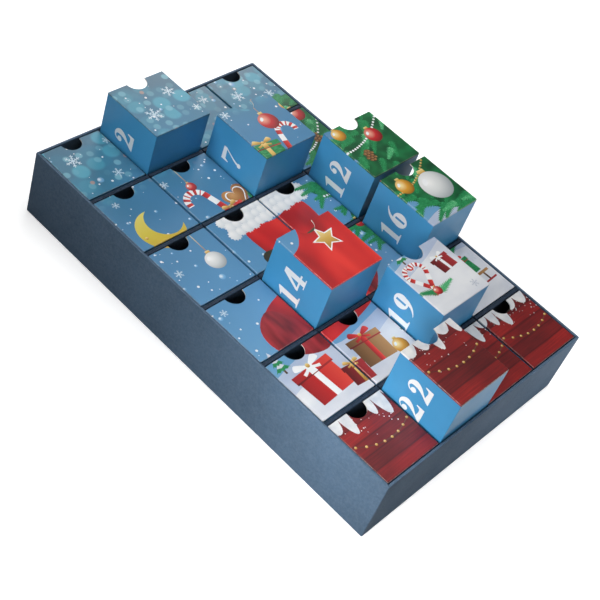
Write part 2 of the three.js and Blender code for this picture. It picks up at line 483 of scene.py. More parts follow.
FIR_MID = Ink("laminated_fir_ink", ("#16703f", "#238a50", "#3aa566"), Shade.NEEDLES)
FIR_LIGHT = Ink("laminated_light_fir_ink", ("#2a9455", "#4ab274", "#86cf9c"), Shade.NEEDLES)
BARK = Ink("laminated_bark_ink", ("#3d2a20", "#5a3d2b", "#7c5a3e"), Shade.UP)
GINGER = Ink("laminated_ginger_ink", ("#8a5226", "#b67a3e", "#d6a062"), Shade.BALL)
KRAFT = Ink("laminated_brown_ink", ("#6b4a2c", "#946a40", "#bb8d59"), Shade.ACROSS)
OLIVE = Ink("laminated_olive_ink", ("#34352a", "#4b4a37", "#66644a"), Shade.ACROSS)


# Outlines


Part = tuple[Outline, Finish]


def placed(
    points: Sequence[Point], at: Point = (0.0, 0.0), turn: float = 0.0, size: float = 1.0
) -> Outline:
    """Turns an outline round its origin, counter-clockwise, and scales and moves it."""
    c, s = size * math.cos(math.radians(turn)), size * math.sin(math.radians(turn))
    return [(at[0] + c * x - s * y, at[1] + s * x + c * y) for x, y in points]


def oval(rx: float, ry: float, steps: int = 24) -> Outline:
    """Draws an ellipse round the origin, as that many points."""
    turns = [2 * math.pi * i / steps for i in range(steps)]
    return [(rx * math.cos(a), ry * math.sin(a)) for a in turns]


def block(width: float, height: float) -> Outline:
    """Draws a rectangle round the origin."""
    x, y = width / 2, height / 2
    return [(-x, -y), (x, -y), (x, y), (-x, y)]


def smooth(knots: Sequence[Sequence[float]], steps: int = 5, closed: bool = True) -> list[tuple]:
    """Runs a Catmull-Rom curve through knots of any number of values.

    Args:
        knots: The values that the curve passes through.
        steps: Points on each span between two knots.
        closed: Whether the curve comes back to its first knot.

    Returns:
        The curve's points.
    """
    count = len(knots)
    curve = []
    for i in range(count if closed else count - 1):
        near = [i + k if closed else min(max(i + k, 0), count - 1) for k in (-1, 0, 1, 2)]
        p, q, r, s = (knots[k % count] for k in near)
        for t in (step / steps for step in range(steps)):
            curve.append(tuple(
                0.5 * (2 * b + (c - a) * t + (2 * a - 5 * b + 4 * c - d) * t**2
                       + (3 * b - a - 3 * c + d) * t**3)
                for a, b, c, d in zip(p, q, r, s)
            ))
    return curve if closed else [*curve, tuple(knots[-1])]


def ribbon(knots: Sequence[Point3], steps: int = 5) -> Outline:
    """Draws a band along a smooth line.

    Args:
        knots: Points of the line, each with the band's width there.
        steps: Points on each span between two knots.

    Returns:
        The band's outline.
    """
    line = smooth(knots, steps, closed=False)
    left, right = [], []
    for i, (x, y, width) in enumerate(line):
        before, after = line[max(i - 1, 0)], line[min(i + 1, len(line) - 1)]
        run = Vector((after[0] - before[0], after[1] - before[1])).normalized() * width / 2
        left.append((x - run.y, y + run.x))
        right.append((x + run.y, y - run.x))
    return left + right[::-1]


@dataclass
class Shape:
    """One printed shape of the picture."""

    outline: Outline  # kept counter-clockwise
    ink: Finish
    turn: float = 0.0  # how far the axes that its shading follows are turned

    def __post_init__(self) -> None:
        """Puts the outline counter-clockwise and finds the box that the shading fills."""
        ahead = self.outline[1:] + self.outline[:1]
        if sum(x * v - u * y for (x, y), (u, v) in zip(self.outline, ahead)) < 0:
            self.outline = self.outline[::-1]
        level = placed(self.outline, turn=-self.turn)
        self.low, self.high = ([edge(values) for values in zip(*level)] for edge in (min, max))

    def shade_at(self, point: Point) -> Point:
        """Gives a point's place in the shading, from -1 to 1 across and up the shape."""
        level = placed([point], turn=-self.turn)[0]
        return tuple((2 * v - a - b) / (b - a) for v, a, b in zip(level, self.low, self.high))

    def reaches(self, outline: Outline) -> bool:
        """Says whether the shape's own box meets another outline's."""
        pairs = zip(zip(*self.outline), zip(*outline))
        return all(min(mine) < max(other) and max(mine) > min(other) for mine, other in pairs)


def laid(
    parts: Iterable[Part], at: Point, turn: float = 0.0, size: float = 1.0, shading: float = 0.0
) -> list[Shape]:
    """Places outlines drawn round one origin, as shapes whose shading has a turn of its own."""
    return [Shape(placed(outline, at, turn, size), ink, shading) for outline, ink in parts]


def partition(
    sheet: Outline, shapes: Sequence[Shape]
) -> tuple[list[Vector], list[tuple[list[int], Shape | None]]]:
    """Cuts a flat sheet into patches along the shapes printed on it.

    Args:
        sheet: The sheet's outline, counter-clockwise.
        shapes: What is printed on it, each over the ones before.

    Returns:
        The points, and each patch's loop with the shape on top there, or None on the bare ground.
    """
    printed = [shape for shape in shapes if shape.reaches(sheet)]
    points, loops = [], []
    for outline in (sheet, *(shape.outline for shape in printed)):
        loops.append(list(range(len(points), len(points) + len(outline))))
        points += outline
    corners, _, found, _, _, owners = delaunay_2d_cdt(
        [Vector(p) for p in points], [], loops, INSIDE, WELD
    )
    tops = [None, *printed]
    return corners, [(list(loop), tops[max(own)]) for loop, own in zip(found, owners) if 0 in own]


# The picture's motifs


FEW = 12  # points round a small oval


class Motif:
    """Something drawn in the picture."""

    def shapes(self) -> list[Shape]:
        """Gives its shapes, each over the ones before."""
        raise NotImplementedError


@dataclass(frozen=True)
class Emblem(Motif):
    """A motif drawn one size large round its own origin, then turned, scaled and placed."""

    at: Point
    size: float
    turn: float = 0.0

    def parts(self) -> list[Part]:
        """Draws its outlines with their inks, each over the ones before."""
        raise NotImplementedError

    def shapes(self) -> list[Shape]:
        """Places its parts together."""
        return laid(self.parts(), self.at, self.turn, self.size)


@dataclass(frozen=True)
class Dot(Motif):
    """A round spot."""

    at: Point
    radius: float
    ink: Ink
    steps: int = 8

    def shapes(self) -> list[Shape]:
        """Draws it as one outline."""
        return laid([(oval(self.radius, self.radius, self.steps), self.ink)], self.at)


@dataclass(frozen=True)
class Snowflake(Emblem):
    """A six-armed snowflake with two pairs of branches on each arm."""

    ink: Ink = FLAKE_WHITE
    arm: tuple[Point, ...] = (
        (0.30, 0.055), (0.42, 0.20), (0.50, 0.17), (0.42, 0.055), (0.60, 0.055),
        (0.76, 0.22), (0.85, 0.19), (0.74, 0.055), (1.0, 0.04),
    )
    arms: int = 6
    fork: float = 0.15  # where two arms meet

    def parts(self) -> list[Part]:
        """Draws it as one outline, arm by arm.

        Returns:
            Its one part.
        """
        outline = []
        for turn in (360 * i / self.arms for i in range(self.arms)):
            outline += placed([(r, -s) for r, s in self.arm], turn=turn)
            outline += placed(self.arm[::-1], turn=turn)
            outline += placed([(self.fork, 0)], turn=turn + 180 / self.arms)
        return [(outline, self.ink)]


@dataclass(frozen=True)
class Bauble(Emblem):
    """A glass ball with its cap and thread."""

    ink: Ink = RED_GLASS
    thread: float = 0.0  # its length, in millimetres as is its width
    thread_width: float = 0.6
    steps: int = 32
    cap: Point = (0.5, 0.34)
    cap_rise: float = 1.08
    glint: Point = (0.16, 0.28)
    glint_at: Point = (-0.45, 0.42)
    glint_turn: float = -45.0

    def parts(self) -> list[Part]:
        """Draws it from the thread down to the glint.

        Returns:
            Its parts.
        """
        width = self.thread_width / self.size
        line = [(0, 1 + up / self.size, width) for up in (0, self.thread)]
        return [
            *([(ribbon(line, 1), GOLD_FOIL)] if self.thread else []),
            (placed(block(*self.cap), (0, self.cap_rise)), GOLD_FOIL),
            (oval(1, 1, self.steps), self.ink),
            (placed(oval(*self.glint, FEW), self.glint_at, self.glint_turn), PURE_WHITE),
        ]


@dataclass(frozen=True)
class Crescent(Motif):
    """A crescent moon with a few craters."""

    at: Point
    radius: float
    turn: float
    horn: float = 48.0  # the angle where the horns lie on the outer circle
    shift: float = 0.5  # from the outer circle's middle to the inner one's
    steps: int = 30
    craters: tuple[Point3, ...] = (
        (150, 0.82, 0.07), (196, 0.78, 0.10), (228, 0.86, 0.06),
    )  # each with its angle, its place out from the middle, and its radius

    def shapes(self) -> list[Shape]:
        """Draws the crescent between its outer circle and one that meets it at the horns.

        Returns:
            The crescent, then its craters.
        """
        start = math.radians(self.horn)
        inner = math.hypot(math.cos(start) - self.shift, math.sin(start))
        turned = math.atan2(math.sin(start), math.cos(start) - self.shift)
        shares = [i / self.steps for i in range(self.steps + 1)]
        outer = [start + 2 * (math.pi - start) * t for t in shares]
        back = [turned + 2 * (math.pi - turned) * t for t in shares[-2:0:-1]]
        outline = [(math.cos(a), math.sin(a)) for a in outer]
        outline += [(self.shift + inner * math.cos(a), inner * math.sin(a)) for a in back]
        drawn = laid([(outline, MOON_YELLOW)], self.at, self.turn, self.radius)
        for angle, out, size in self.craters:
            spot = placed([(out * self.radius, 0)], self.at, self.turn + angle)[0]
            drawn += Dot(spot, size * self.radius, GOLD_FOIL, FEW).shapes()
        return drawn


@dataclass(frozen=True)
class Gift(Motif):
    """A wrapped box with a ribbon and a bow, standing on its lower edge."""

    at: Point
    width: float
    height: float
    paper: Ink
    band: Ink
    turn: float = 0.0
    lid: float = 0.22  # of the height, as is the line under the lid
    line: float = 0.05
    brim: float = 1.1  # of the width, as are the ribbon and the bow's loop
    tie: float = 0.16
    loop: float = 0.26
    spread: float = 1.15  # how much wider the ribbon is on the lid
    tail: tuple[Point3, ...] = ((0, 0, 0.2), (0.5, -0.3, 0.26), (0.95, -0.45, 0.3))  # in loops
    curl: tuple[Point, ...] = ((0, 0), (1, 0.75), (1.35, 0.2))  # in loops
    knot: Point3 = (0.2, 0.22, 0.12)  # its half width, half height and rise, in loops

    def shapes(self) -> list[Shape]:
        """Draws the box, its lid, the ribbon, and a bow of two loops and two tails.

        Returns:
            Its shapes.
        """
        w, h = self.width, self.height
        lid, brim, tie, loop = self.lid * h, self.brim * w, self.tie * w, self.loop * w
        drawn = [
            (block(w, h), h / 2, self.paper), (block(tie, h), h / 2, self.band),
            (block(brim, lid), h - lid / 2, self.paper), (block(brim, self.line * h), h - lid, RED_TRIM),
            (block(tie * self.spread, lid), h - lid / 2, self.band),
        ]
        for side in (-1, 1):
            tail = ribbon([(side * x, y, width) for x, y, width in self.tail], 3)
            curl = smooth([(side * x, y) for x, y in self.curl])
            drawn += [(placed(part, size=loop), h, self.band) for part in (tail, curl)]
        rx, ry, rise = (share * loop for share in self.knot)
        drawn.append((oval(rx, ry, FEW), h + rise, GOLD_FOIL))
        parts = [(placed(outline, (0, rise)), ink) for outline, rise, ink in drawn]
        return laid(parts, self.at, self.turn, shading=self.turn)


@dataclass(frozen=True)
class CandyCane(Motif):
    """A striped cane with a round hook, to the left where the side is -1."""

    at: Point
    height: float
    turn: float
    side: int = 1
    thick: float = 0.13  # of the height, as are the hook's radius and the straight part's knot
    hook: float = 0.22
    knot: float = 0.4
    hook_turns: tuple[int, ...] = (150, 120, 90, 60, 30, 0)  # where the hook's knots lie
    stripes: int = 9

    def shapes(self) -> list[Shape]:
        """Draws the white cane and lays the red stripes across it.

        Returns:
            Its shapes.
        """
        h, hook = self.height, self.hook * self.height
        line = [(0, 0), (0, self.knot * h), (0, h - hook)]
        for a in map(math.radians, self.hook_turns):
            line.append((self.side * hook * (1 + math.cos(a)), h + hook * (math.sin(a) - 1)))
        path = smooth([(x, y, self.thick * h) for x, y in line], 4, closed=False)
        share = len(path) / self.stripes
        stripes = [path[int(i * share) : int((i + 0.5) * share) + 1] for i in range(self.stripes)]
        parts = [(path, PURE_WHITE), *((stripe, RED_PAPER) for stripe in stripes)]
        return laid([(ribbon(part, 1), ink) for part, ink in parts], self.at, self.turn)


@dataclass(frozen=True)
class FirTwig(Motif):
    """A fir twig: a saw-edged leaf of needles that tapers to its tip."""

    at: Point
    length: float
    width: float
    turn: float
    ink: Ink
    teeth: int = 9
    taper: float = 0.75  # how much of its width is gone at the tip
    tooth: Point = (0.16, 0.10)  # how far on a tooth's tip and its notch lie
    notch: float = 0.42  # how far out a notch lies, as a share of the tip
    stem: float = 0.1
    tip: float = 1.06

    def shapes(self) -> list[Shape]:
        """Draws the needles up one side and down the other.

        Returns:
            Its one shape.
        """
        side = [(0, self.stem * self.width)]
        for share in (i / self.teeth for i in range(self.teeth)):
            reach = self.width / 2 * (1 - self.taper * share)
            for on, out in zip(self.tooth, (1, self.notch)):
                side.append((self.length * (share + on), out * reach))
        outline = [*[(x, -y) for x, y in side], (self.length * self.tip, 0), *side[::-1]]
        return laid([(outline, self.ink)], self.at, self.turn, shading=self.turn)


@dataclass(frozen=True)
class PineCone(Emblem):
    """A hanging pine cone with rows of scales, its size being half its length."""

    width: float = 0.62
    row_width: float = 0.55
    rises: tuple[float, ...] = (-0.72, -0.36, 0.0, 0.36, 0.72)
    scale: Point = (0.24, 0.15)
    steps: int = 10  # round a scale

    def parts(self) -> list[Part]:
        """Draws the cone and its scales, from the tip up.

        Returns:
            Its parts.
        """
        scale = oval(*self.scale, self.steps)
        parts = [(oval(self.width, 1), BARK)]
        for row, rise in enumerate(self.rises):
            wide = self.row_width * math.sqrt(1 - rise**2)
            for place in (-1, 0, 1) if row % 2 else (-0.5, 0.5):
                parts.append((placed(scale, (place * wide, rise)), KRAFT))
        return parts


@dataclass(frozen=True)
class SmallFir(Emblem):
    """A little snow-laden fir, far off on the snow."""

    trunk: Point = (0.08, 0.2)
    tiers: tuple[Point3, ...] = (
        (0.34, 0.14, 0.5), (0.26, 0.38, 0.75), (0.18, 0.62, 1.0),
    )  # each with its half width, its foot and its head
    waves: int = 4  # along half a tier's foot
    wave: float = 0.05

    def parts(self) -> list[Part]:
        """Draws the trunk and three tiers, each with snow along its top.

        Returns:
            Its parts.
        """
        parts = [(placed(block(*self.trunk), (0, self.trunk[1] / 2)), BARK)]
        for wide, foot, head in self.tiers:
            steps = range(2 * self.waves + 1)
            hem = [(wide * (i / self.waves - 1), foot + self.wave * (i % 2)) for i in steps]
            middle = (foot + head) / 2
            cap = [(-wide / 2, middle), (0, middle - self.wave), (wide / 2, middle), (0, head)]
            parts += [([*hem, (0, head)], FIR_MID), (cap, SNOW)]
        return parts


@dataclass(frozen=True)
class GingerHeart(Emblem):
    """A heart-shaped gingerbread with a line of icing."""

    waves: tuple[float, ...] = (0.8, -0.32, -0.13, -0.06)  # what each cosine adds to its height
    steps: int = 36
    layers: tuple[tuple[float, Ink], ...] = ((1.0, GINGER), (0.78, PURE_WHITE), (0.68, GINGER))

    def parts(self) -> list[Part]:
        """Draws the heart, then the icing as a white heart with a brown one inside it.

        Returns:
            Its parts.
        """
        turns = [2 * math.pi * i / self.steps for i in range(self.steps)]
        heart = [
            (math.sin(a) ** 3, sum(wave * math.cos(k * a) for k, wave in enumerate(self.waves, 1)))
            for a in turns
        ]
        return [(placed(heart, size=share), ink) for share, ink in self.layers]


@dataclass(frozen=True)
class Star(Emblem):
    """A five-pointed star with a pale border."""

    points: int = 5
    waist: float = 0.45
    border: float = 1.25

    def parts(self) -> list[Part]:
        """Draws the border, then the star on it.

        Returns:
            Its parts.
        """
        turns = [math.pi * i / self.points for i in range(2 * self.points)]
        reaches = [1.0, self.waist] * self.points
        star = [(r * math.sin(a), r * math.cos(a)) for a, r in zip(turns, reaches)]
        return [(placed(star, size=self.border), PURE_WHITE), (star, GOLD_FOIL)]


@dataclass(frozen=True)
class Sledge(Emblem):
    """A wooden sledge seen from the side, its curled runners to the left."""

    posts: Point3 = (-0.24, 0.05, 0.34)
    post: Point = (0.04, 0.17)
    post_rise: float = 0.09
    seat: Point = (0.86, 0.05)
    seat_at: Point = (0.06, 0.19)
    runner: tuple[Point3, ...] = (
        (0.5, 0.0, 0.035), (-0.4, 0.0, 0.035), (-0.54, 0.09, 0.035), (-0.5, 0.22, 0.035),
        (-0.38, 0.21, 0.03),
    )

    def parts(self) -> list[Part]:
        """Draws the posts, the seat and the runner.

        Returns:
            Its parts.
        """
        return [
            *((placed(block(*self.post), (x, self.post_rise)), BARK) for x in self.posts),
            (placed(block(*self.seat), self.seat_at), KRAFT), (ribbon(self.runner, 4), RED_TRIM),
        ]


@dataclass(frozen=True)
class Stocking(Motif):
    """The large hung stocking: knitted leg and foot, patches, a band, and a fur cuff."""

    leg: tuple[Point, ...] = (
        (-35, 40), (-4, 37), (29, 42), (31, 12), (34, -20), (27, -47), (4, -64), (-34, -73),
        (-74, -76), (-97, -62), (-97, -40), (-76, -26), (-48, -16), (-36, 6),
    )
    heel: tuple[Point, ...] = ((34, -14), (34, -34), (24, -51), (6, -62), (10, -42), (20, -26))
    toe: tuple[Point, ...] = (
        (-60, -77), (-78, -76), (-97, -62), (-97, -40), (-80, -28), (-68, -40), (-62, -58),
    )
    band: tuple[Point, ...] = ((-39, 2), (-4, -2), (34, 2), (33, 15), (-4, 11), (-38, 15))
    gem: tuple[Point, ...] = ((-2.6, 0), (0, -4.4), (2.6, 0), (0, 4.4))
    gems: int = 7
    gem_pitch: float = 10.6
    gem_middle: Point = (-1.2, 6.4)
    gem_lift: float = 0.35  # how much higher each lies than its neighbour nearer the middle
    cuff: Point = (-3, 50)
    cuff_turn: float = 3.0
    cuff_length: float = 84.0
    cuff_height: float = 25.0
    cuff_bar: float = 0.7  # of the cuff's height, as are the rows and the tufts' radius
    rows: Point3 = (0.3, 0.02, -0.27)
    tufts: int = 12  # in a row
    tuft: float = 0.22
    tuft_varies: float = 0.03
    tuft_pace: float = 2.3
    tuft_notch: float = 0.2  # of a tuft's radius
    tuft_steps: int = 26

    def shapes(self) -> list[Shape]:
        """Draws the leg, its patches and band, the star, and the fur.

        Returns:
            Its shapes.
        """
        parts = ((self.leg, RED_KNIT), (self.toe, DARK_KNIT), (self.heel, DARK_KNIT),
                 (self.band, OLIVE))
        drawn = [Shape(smooth(knots), ink) for knots, ink in parts]
        (x, y), middle = self.gem_middle, (self.gems - 1) / 2
        for away in (step - middle for step in range(self.gems)):
            spot = (x + self.gem_pitch * away, y + self.gem_lift * abs(away))
            drawn += laid([(self.gem, GOLD_FOIL)], spot)
        return drawn + Star((-24, -22), 10.5, 8).shapes() + self.fur()

    def fur(self) -> list[Shape]:
        """Draws the cuff's tufts over a bar, from its upper edge down.

        Returns:
            The shapes.
        """
        length, height, notch = self.cuff_length, self.cuff_height, self.tuft_notch
        spots = [((0, 0), block(length, self.cuff_bar * height))]
        for row, rise in enumerate(self.rows):
            for i in range(self.tufts):
                across = (i + 0.5 * (row % 2)) / (self.tufts - 0.5) - 0.5
                r = height * (self.tuft + self.tuft_varies * math.sin(self.tuft_pace * i + row))
                tuft = [(x * (1 - notch * (k % 2)), y * (1 - notch * (k % 2)))
                        for k, (x, y) in enumerate(oval(r, r, self.tuft_steps))]
                spots.append(((across * length, rise * height), tuft))
        turn = self.cuff_turn
        return [
            Shape(placed(part, placed([spot], self.cuff, turn)[0], turn), WHITE_FUR)
            for spot, part in spots
        ]


@dataclass(frozen=True)
class Garland(Motif):
    """The heap of fir twigs down the right side, drawn twig by twig with a fixed seed."""

    edge: tuple[Point, ...] = (
        (104, 142), (90, 122), (94, 96), (78, 76), (84, 56), (46, 44), (62, 22), (50, -8),
        (66, -32), (86, -52), (112, -62),
    )
    right: float = 124.0
    twigs: int = 46
    seed: int = 5
    edge_shift: Point = (7, 2)
    edge_length: Point = (17, 24)
    edge_width: float = 10.0
    edge_lean: Point = (194, 28)  # its middle, and how far it swings along the edge
    swing_pace: float = 1.9  # from twig to twig
    inner_across: Point = (14, 52)
    inner_up: Point = (-4, 6)
    inner_length: Point = (15, 23)
    inner_width: float = 9.0
    inner_lean: Point = (-10, 66)  # past straight left
    light_every: int = 4

    def shapes(self) -> list[Shape]:
        """Draws the deep ground, then twigs out over its edge and over each other.

        Returns:
            Its shapes.
        """
        line = smooth(self.edge, 6, closed=False)
        drawn = [Shape([*line, (self.right, line[-1][1]), (self.right, line[0][1])], FIR_DEEP)]
        starts = [line[i * (len(line) - 1) // (self.twigs - 1)] for i in range(self.twigs)]
        draw = random.Random(self.seed)
        (dx, dy), (lean, swing) = self.edge_shift, self.edge_lean
        for i, (x, y) in enumerate(starts):
            length = draw.uniform(*self.edge_length)
            turn = lean + swing * math.sin(self.swing_pace * i)
            drawn += FirTwig((x + dx, y + dy), length, self.edge_width, turn, FIR_MID).shapes()
        for i, (x, y) in enumerate(starts):
            spot = (x + draw.uniform(*self.inner_across), y + draw.uniform(*self.inner_up))
            length, turn = draw.uniform(*self.inner_length), 180 + draw.uniform(*self.inner_lean)
            ink = FIR_MID if i % self.light_every else FIR_LIGHT
            drawn += FirTwig(spot, length, self.inner_width, turn, ink).shapes()
        return drawn


@dataclass(frozen=True)
class BeadString(Motif):
    """A string of small beads in a hanging curve."""

    start: Point
    end: Point
    sag: float
    beads: int
    ink: Ink
    radius: float = 1.1
    thread: float = 0.35  # its width, of a bead's radius

    def shapes(self) -> list[Shape]:
        """Draws the thread and the beads on it.

        Returns:
            Its shapes.
        """
        (x0, y0), (x1, y1) = self.start, self.end
        shares = [i / (self.beads - 1) for i in range(self.beads)]
        line = [(x0 + (x1 - x0) * t, y0 + (y1 - y0) * t - 4 * self.sag * t * (1 - t))
                for t in shares]
        drawn = [Shape(ribbon([(x, y, self.thread * self.radius) for x, y in line], 1), OLIVE)]
        for spot in line:
            drawn += Dot(spot, self.radius, self.ink, 10).shapes()
        return drawn


@dataclass(frozen=True)
class Ground(Motif):
    """Ground that fills the picture's width from a smooth line down to a straight foot."""

    line: Outline
    foot: float
    ink: Finish

    def shapes(self) -> list[Shape]:
        """Draws it as one outline."""
        line = smooth(self.line, 5, closed=False)
        return [Shape([*line, (line[-1][0], self.foot), (line[0][0], self.foot)], self.ink)]


@dataclass(frozen=True)
class SnowEdge(Motif):
    """Snow lying on the top of the planks, with rounded tongues and a scatter of flakes."""

    left: float = -121.0
    right: float = 121.0
    top: float = -124.0
    depth: float = 2.5  # of the snow between two tongues
    tongues: tuple[Point, ...] = ((13, 11), (10, 18), (15, 9), (9, 14), (12, 20), (16, 10))
    bluntness: float = 1.2
    steps: int = 10
    flakes: int = 150
    seed: int = 11
    flake_fall: Point = (8, 9)  # the highest flake below the top, and how far they thin out
    flake_radius: Point = (0.25, 0.6)

    def shapes(self) -> list[Shape]:
        """Draws the flakes, then the tongues as one outline.

        Returns:
            Its shapes.
        """
        draw = random.Random(self.seed)
        fall, thinning = self.flake_fall
        drawn = []
        for _ in range(self.flakes):
            across = draw.uniform(self.left, self.right)
            spot = (across, self.top - fall - abs(draw.gauss(0, thinning)))
            drawn += Dot(spot, draw.uniform(*self.flake_radius), PURE_WHITE, 6).shapes()
        outline = [(self.right, self.top), (self.left, self.top)]
        x = self.left
        while x < self.right:
            width, length = self.tongues[len(outline) // self.steps % len(self.tongues)]
            for a in (math.pi * (i + 0.5) / self.steps for i in range(self.steps)):
                along = min(x + width * (1 - math.cos(a)) / 2, self.right)
                reach = length * math.sin(a) ** self.bluntness
                outline.append((along, self.top - self.depth - reach))
            x += width
        return [*drawn, Shape(outline, EDGE_SNOW)]


@dataclass(frozen=True)
class Picture:
    """The picture that runs over all the drawers' faces, from the sky down to the planks."""

    half: float = 121.0  # from its middle to its left or right side
    sky: Point = (-64.0, 186.0)  # heights of the lowest and the highest snow in the air
    dots: int = 330
    dot_sizes: tuple[float, ...] = (0.4, 0.5, 0.7, 1.0, 1.4)
    soft: float = 2.0  # what a soft dot's radius is, in these sizes
    sharp: float = 0.8  # and a sharp one's
    soft_every: int = 5
    seed: int = 3
    bank_foot: float = -127.0
    planks_top: float = -124.0
    planks_foot: float = -188.0
    lights_level: float = -151.0
    lights_from: tuple[float, ...] = (-114.4, -55.2, 4.0, 63.2)
    lights_run: float = 59.2

    def falling_snow(self) -> list[Motif]:
        """Scatters small dots and a few soft ones over the sky, and places the snowflakes.

        Returns:
            The motifs.
        """
        draw = random.Random(self.seed)
        drawn = []
        for i in range(self.dots):
            spot = (draw.uniform(-self.half, self.half), draw.uniform(*self.sky))
            size = draw.choice(self.dot_sizes)
            drawn.append(
                Dot(spot, size * self.sharp, PURE_WHITE) if i % self.soft_every
                else Dot(spot, size * self.soft, GLOW, FEW)
            )
        for x, y, radius, turn in (
            (-101, 166, 7, 8), (-78, 139, 5, 20), (-62, 172, 4, 0), (-43, 147, 7.5, 14),
            (-14, 163, 6, 4), (-6, 138, 4, 24), (17, 153, 8, 11), (44, 171, 5, 0),
            (50, 137, 4, 18), (75, 160, 6.5, 6), (104, 150, 5, 22), (-56, 110, 4, 9),
            (6, 118, 4.5, 15), (-104, 112, 3.5, 0), (-110, 34, 4, 12), (-108, -12, 3.5, 5),
        ):
            drawn.append(Snowflake((x, y), radius, turn))
        return drawn

    def stocking(self) -> list[Motif]:
        """Hangs the stocking, with what stands out of it.

        Returns:
            The motifs.
        """
        return [
            CandyCane((-26, 52), 44, 14, -1), CandyCane((24, 54), 38, -16),
            Gift((8, 54), 26, 25, FIR_MID, GOLD_FOIL, -6), GingerHeart((-12, 72), 13, 12),
            Gift((-22, 46), 22, 20, RED_PAPER, GOLD_FOIL, 9), Stocking(),
        ]

    def snow_bank(self) -> list[Motif]:
        """Lays the two banks of snow and what stands on them.

        Returns:
            The motifs.
        """
        s, foot = self.half, self.bank_foot
        far = [(-s, -78), (-86, -72), (-52, -80), (-20, -76), (10, -70), (40, -60), (80, -50), (s, -56)]
        near = [(-s, -96), (-98, -92), (-66, -98), (-30, -92), (0, -84), (34, -76), (72, -66), (s, -70)]
        return [
            Ground(far, foot, FAR_SNOW),
            SmallFir((-108, -78), 22), SmallFir((14, -72), 20),
            Ground(near, foot, SNOW),
            Gift((-88, -112), 36, 30, RED_PAPER, PURE_WHITE, 4),
            Gift((-62, -116), 20, 18, RED_TRIM, GOLD_FOIL, -5),
            Gift((-36, -110), 30, 26, KRAFT, RED_PAPER, -3), Bauble((-14, -108), 7, ink=GOLD_GLASS),
            CandyCane((19, -106), 31, 34), CandyCane((11, -106), 31, -30, -1),
            FirTwig((15, -104), 18, 9, 158, FIR_MID), FirTwig((17, -105), 18, 9, 12, FIR_LIGHT),
            Bauble((16, -103), 4), Gift((44, -94), 18, 14, RED_TRIM, PURE_WHITE, 6),
            Snowflake((48, -114), 4, 10, FLAKE_GREY), Gift((98, -94), 18, 17, FIR_MID, RED_PAPER, 5),
            Gift((80, -95), 16, 20, RED_PAPER, GOLD_FOIL, 2),
            Sledge((90, -106), 48, 3), Snowflake((110, -80), 5, 10, FLAKE_GREY),
        ]

    def ornaments(self) -> list[Motif]:
        """Hangs the baubles, cones and beads on the twigs and in the sky.

        Returns:
            The motifs.
        """
        drawn = [
            BeadString((120, 108), (78, 78), 7, 16, PURE_WHITE),
            BeadString((122, 58), (52, 34), 9, 24, PURE_WHITE),
            BeadString((122, 6), (60, -22), 8, 22, GOLD_FOIL),
            PineCone((100, 88), 7.5, 14), PineCone((76, 22), 7, -12),
        ]
        for x, y, radius, ink, thread in (
            (34, 96, 9, RED_GLASS, 30), (-38, 98, 4.5, RED_GLASS, 18), (62, 104, 6, GOLD_GLASS, 22),
            (-76, 30, 8.5, SILVER_GLASS, 22), (106, 118, 8, RED_GLASS, 0), (98, 38, 8, RED_GLASS, 0),
            (70, 52, 6.5, GOLD_GLASS, 0), (73, -18, 8, GOLD_GLASS, 0), (99, -30, 15, SILVER_GLASS, 0),
            (56, -2, 5, RED_GLASS, 0),
        ):
            drawn.append(Bauble((x, y), radius, ink=ink, thread=thread))
        return drawn

    def planks(self) -> list[Motif]:
        """Lays the planks with their snow and a string of small lights over each column.

        Returns:
            The motifs.
        """
        y = self.lights_level
        lights = [BeadString((x, y), (x + self.lights_run, y), 9, 9, GOLD_FOIL)
                  for x in self.lights_from]
        top = [(-self.half, self.planks_top), (self.half, self.planks_top)]
        return [Ground(top, self.planks_foot, PLANKS), SnowEdge(), *lights]

    def shapes(self) -> list[Shape]:
        """Draws the whole picture, each motif over the ones before.

        Returns:
            Its shapes.
        """
        motifs = [
            *self.falling_snow(), Crescent((-90, 76), 20, 38), *self.snow_bank(), *self.stocking(),
            Garland(), *self.ornaments(), *self.planks(),
        ]
        return [shape for motif in motifs for shape in motif.shapes()]


# Numbers


def stroke(*knots: Point3) -> Part:
    """Draws a figure's stroke along its middle line."""
    return ribbon(knots), NUMBER_WHITE


def plate(*points: Point) -> Part:
    """Draws a figure's straight part by its outline."""
    return list(points), NUMBER_WHITE


def bowl(rx: float, ry: float, x: float, y: float, steps: int = 20) -> Part:
    """Draws a figure's round part."""
    return placed(oval(rx, ry, steps), (x, y)), NUMBER_WHITE


def opening(outline: Outline, x: float, y: float, turn: float = 0.0) -> Part:
    """Leaves the drawer's blue standing inside a figure."""
    return placed(outline, (x, y), turn), BLUE_SIDE


class Figure(NamedTuple):
    """A fat-face figure, drawn one cap height tall on a baseline at zero."""

    width: float
    parts: list[Part]

    def upside_down(self) -> "Figure":
        """Turns the figure over in its own place."""
        return Figure(self.width, [(placed(p, (self.width, 1.0), 180), ink) for p, ink in self.parts])


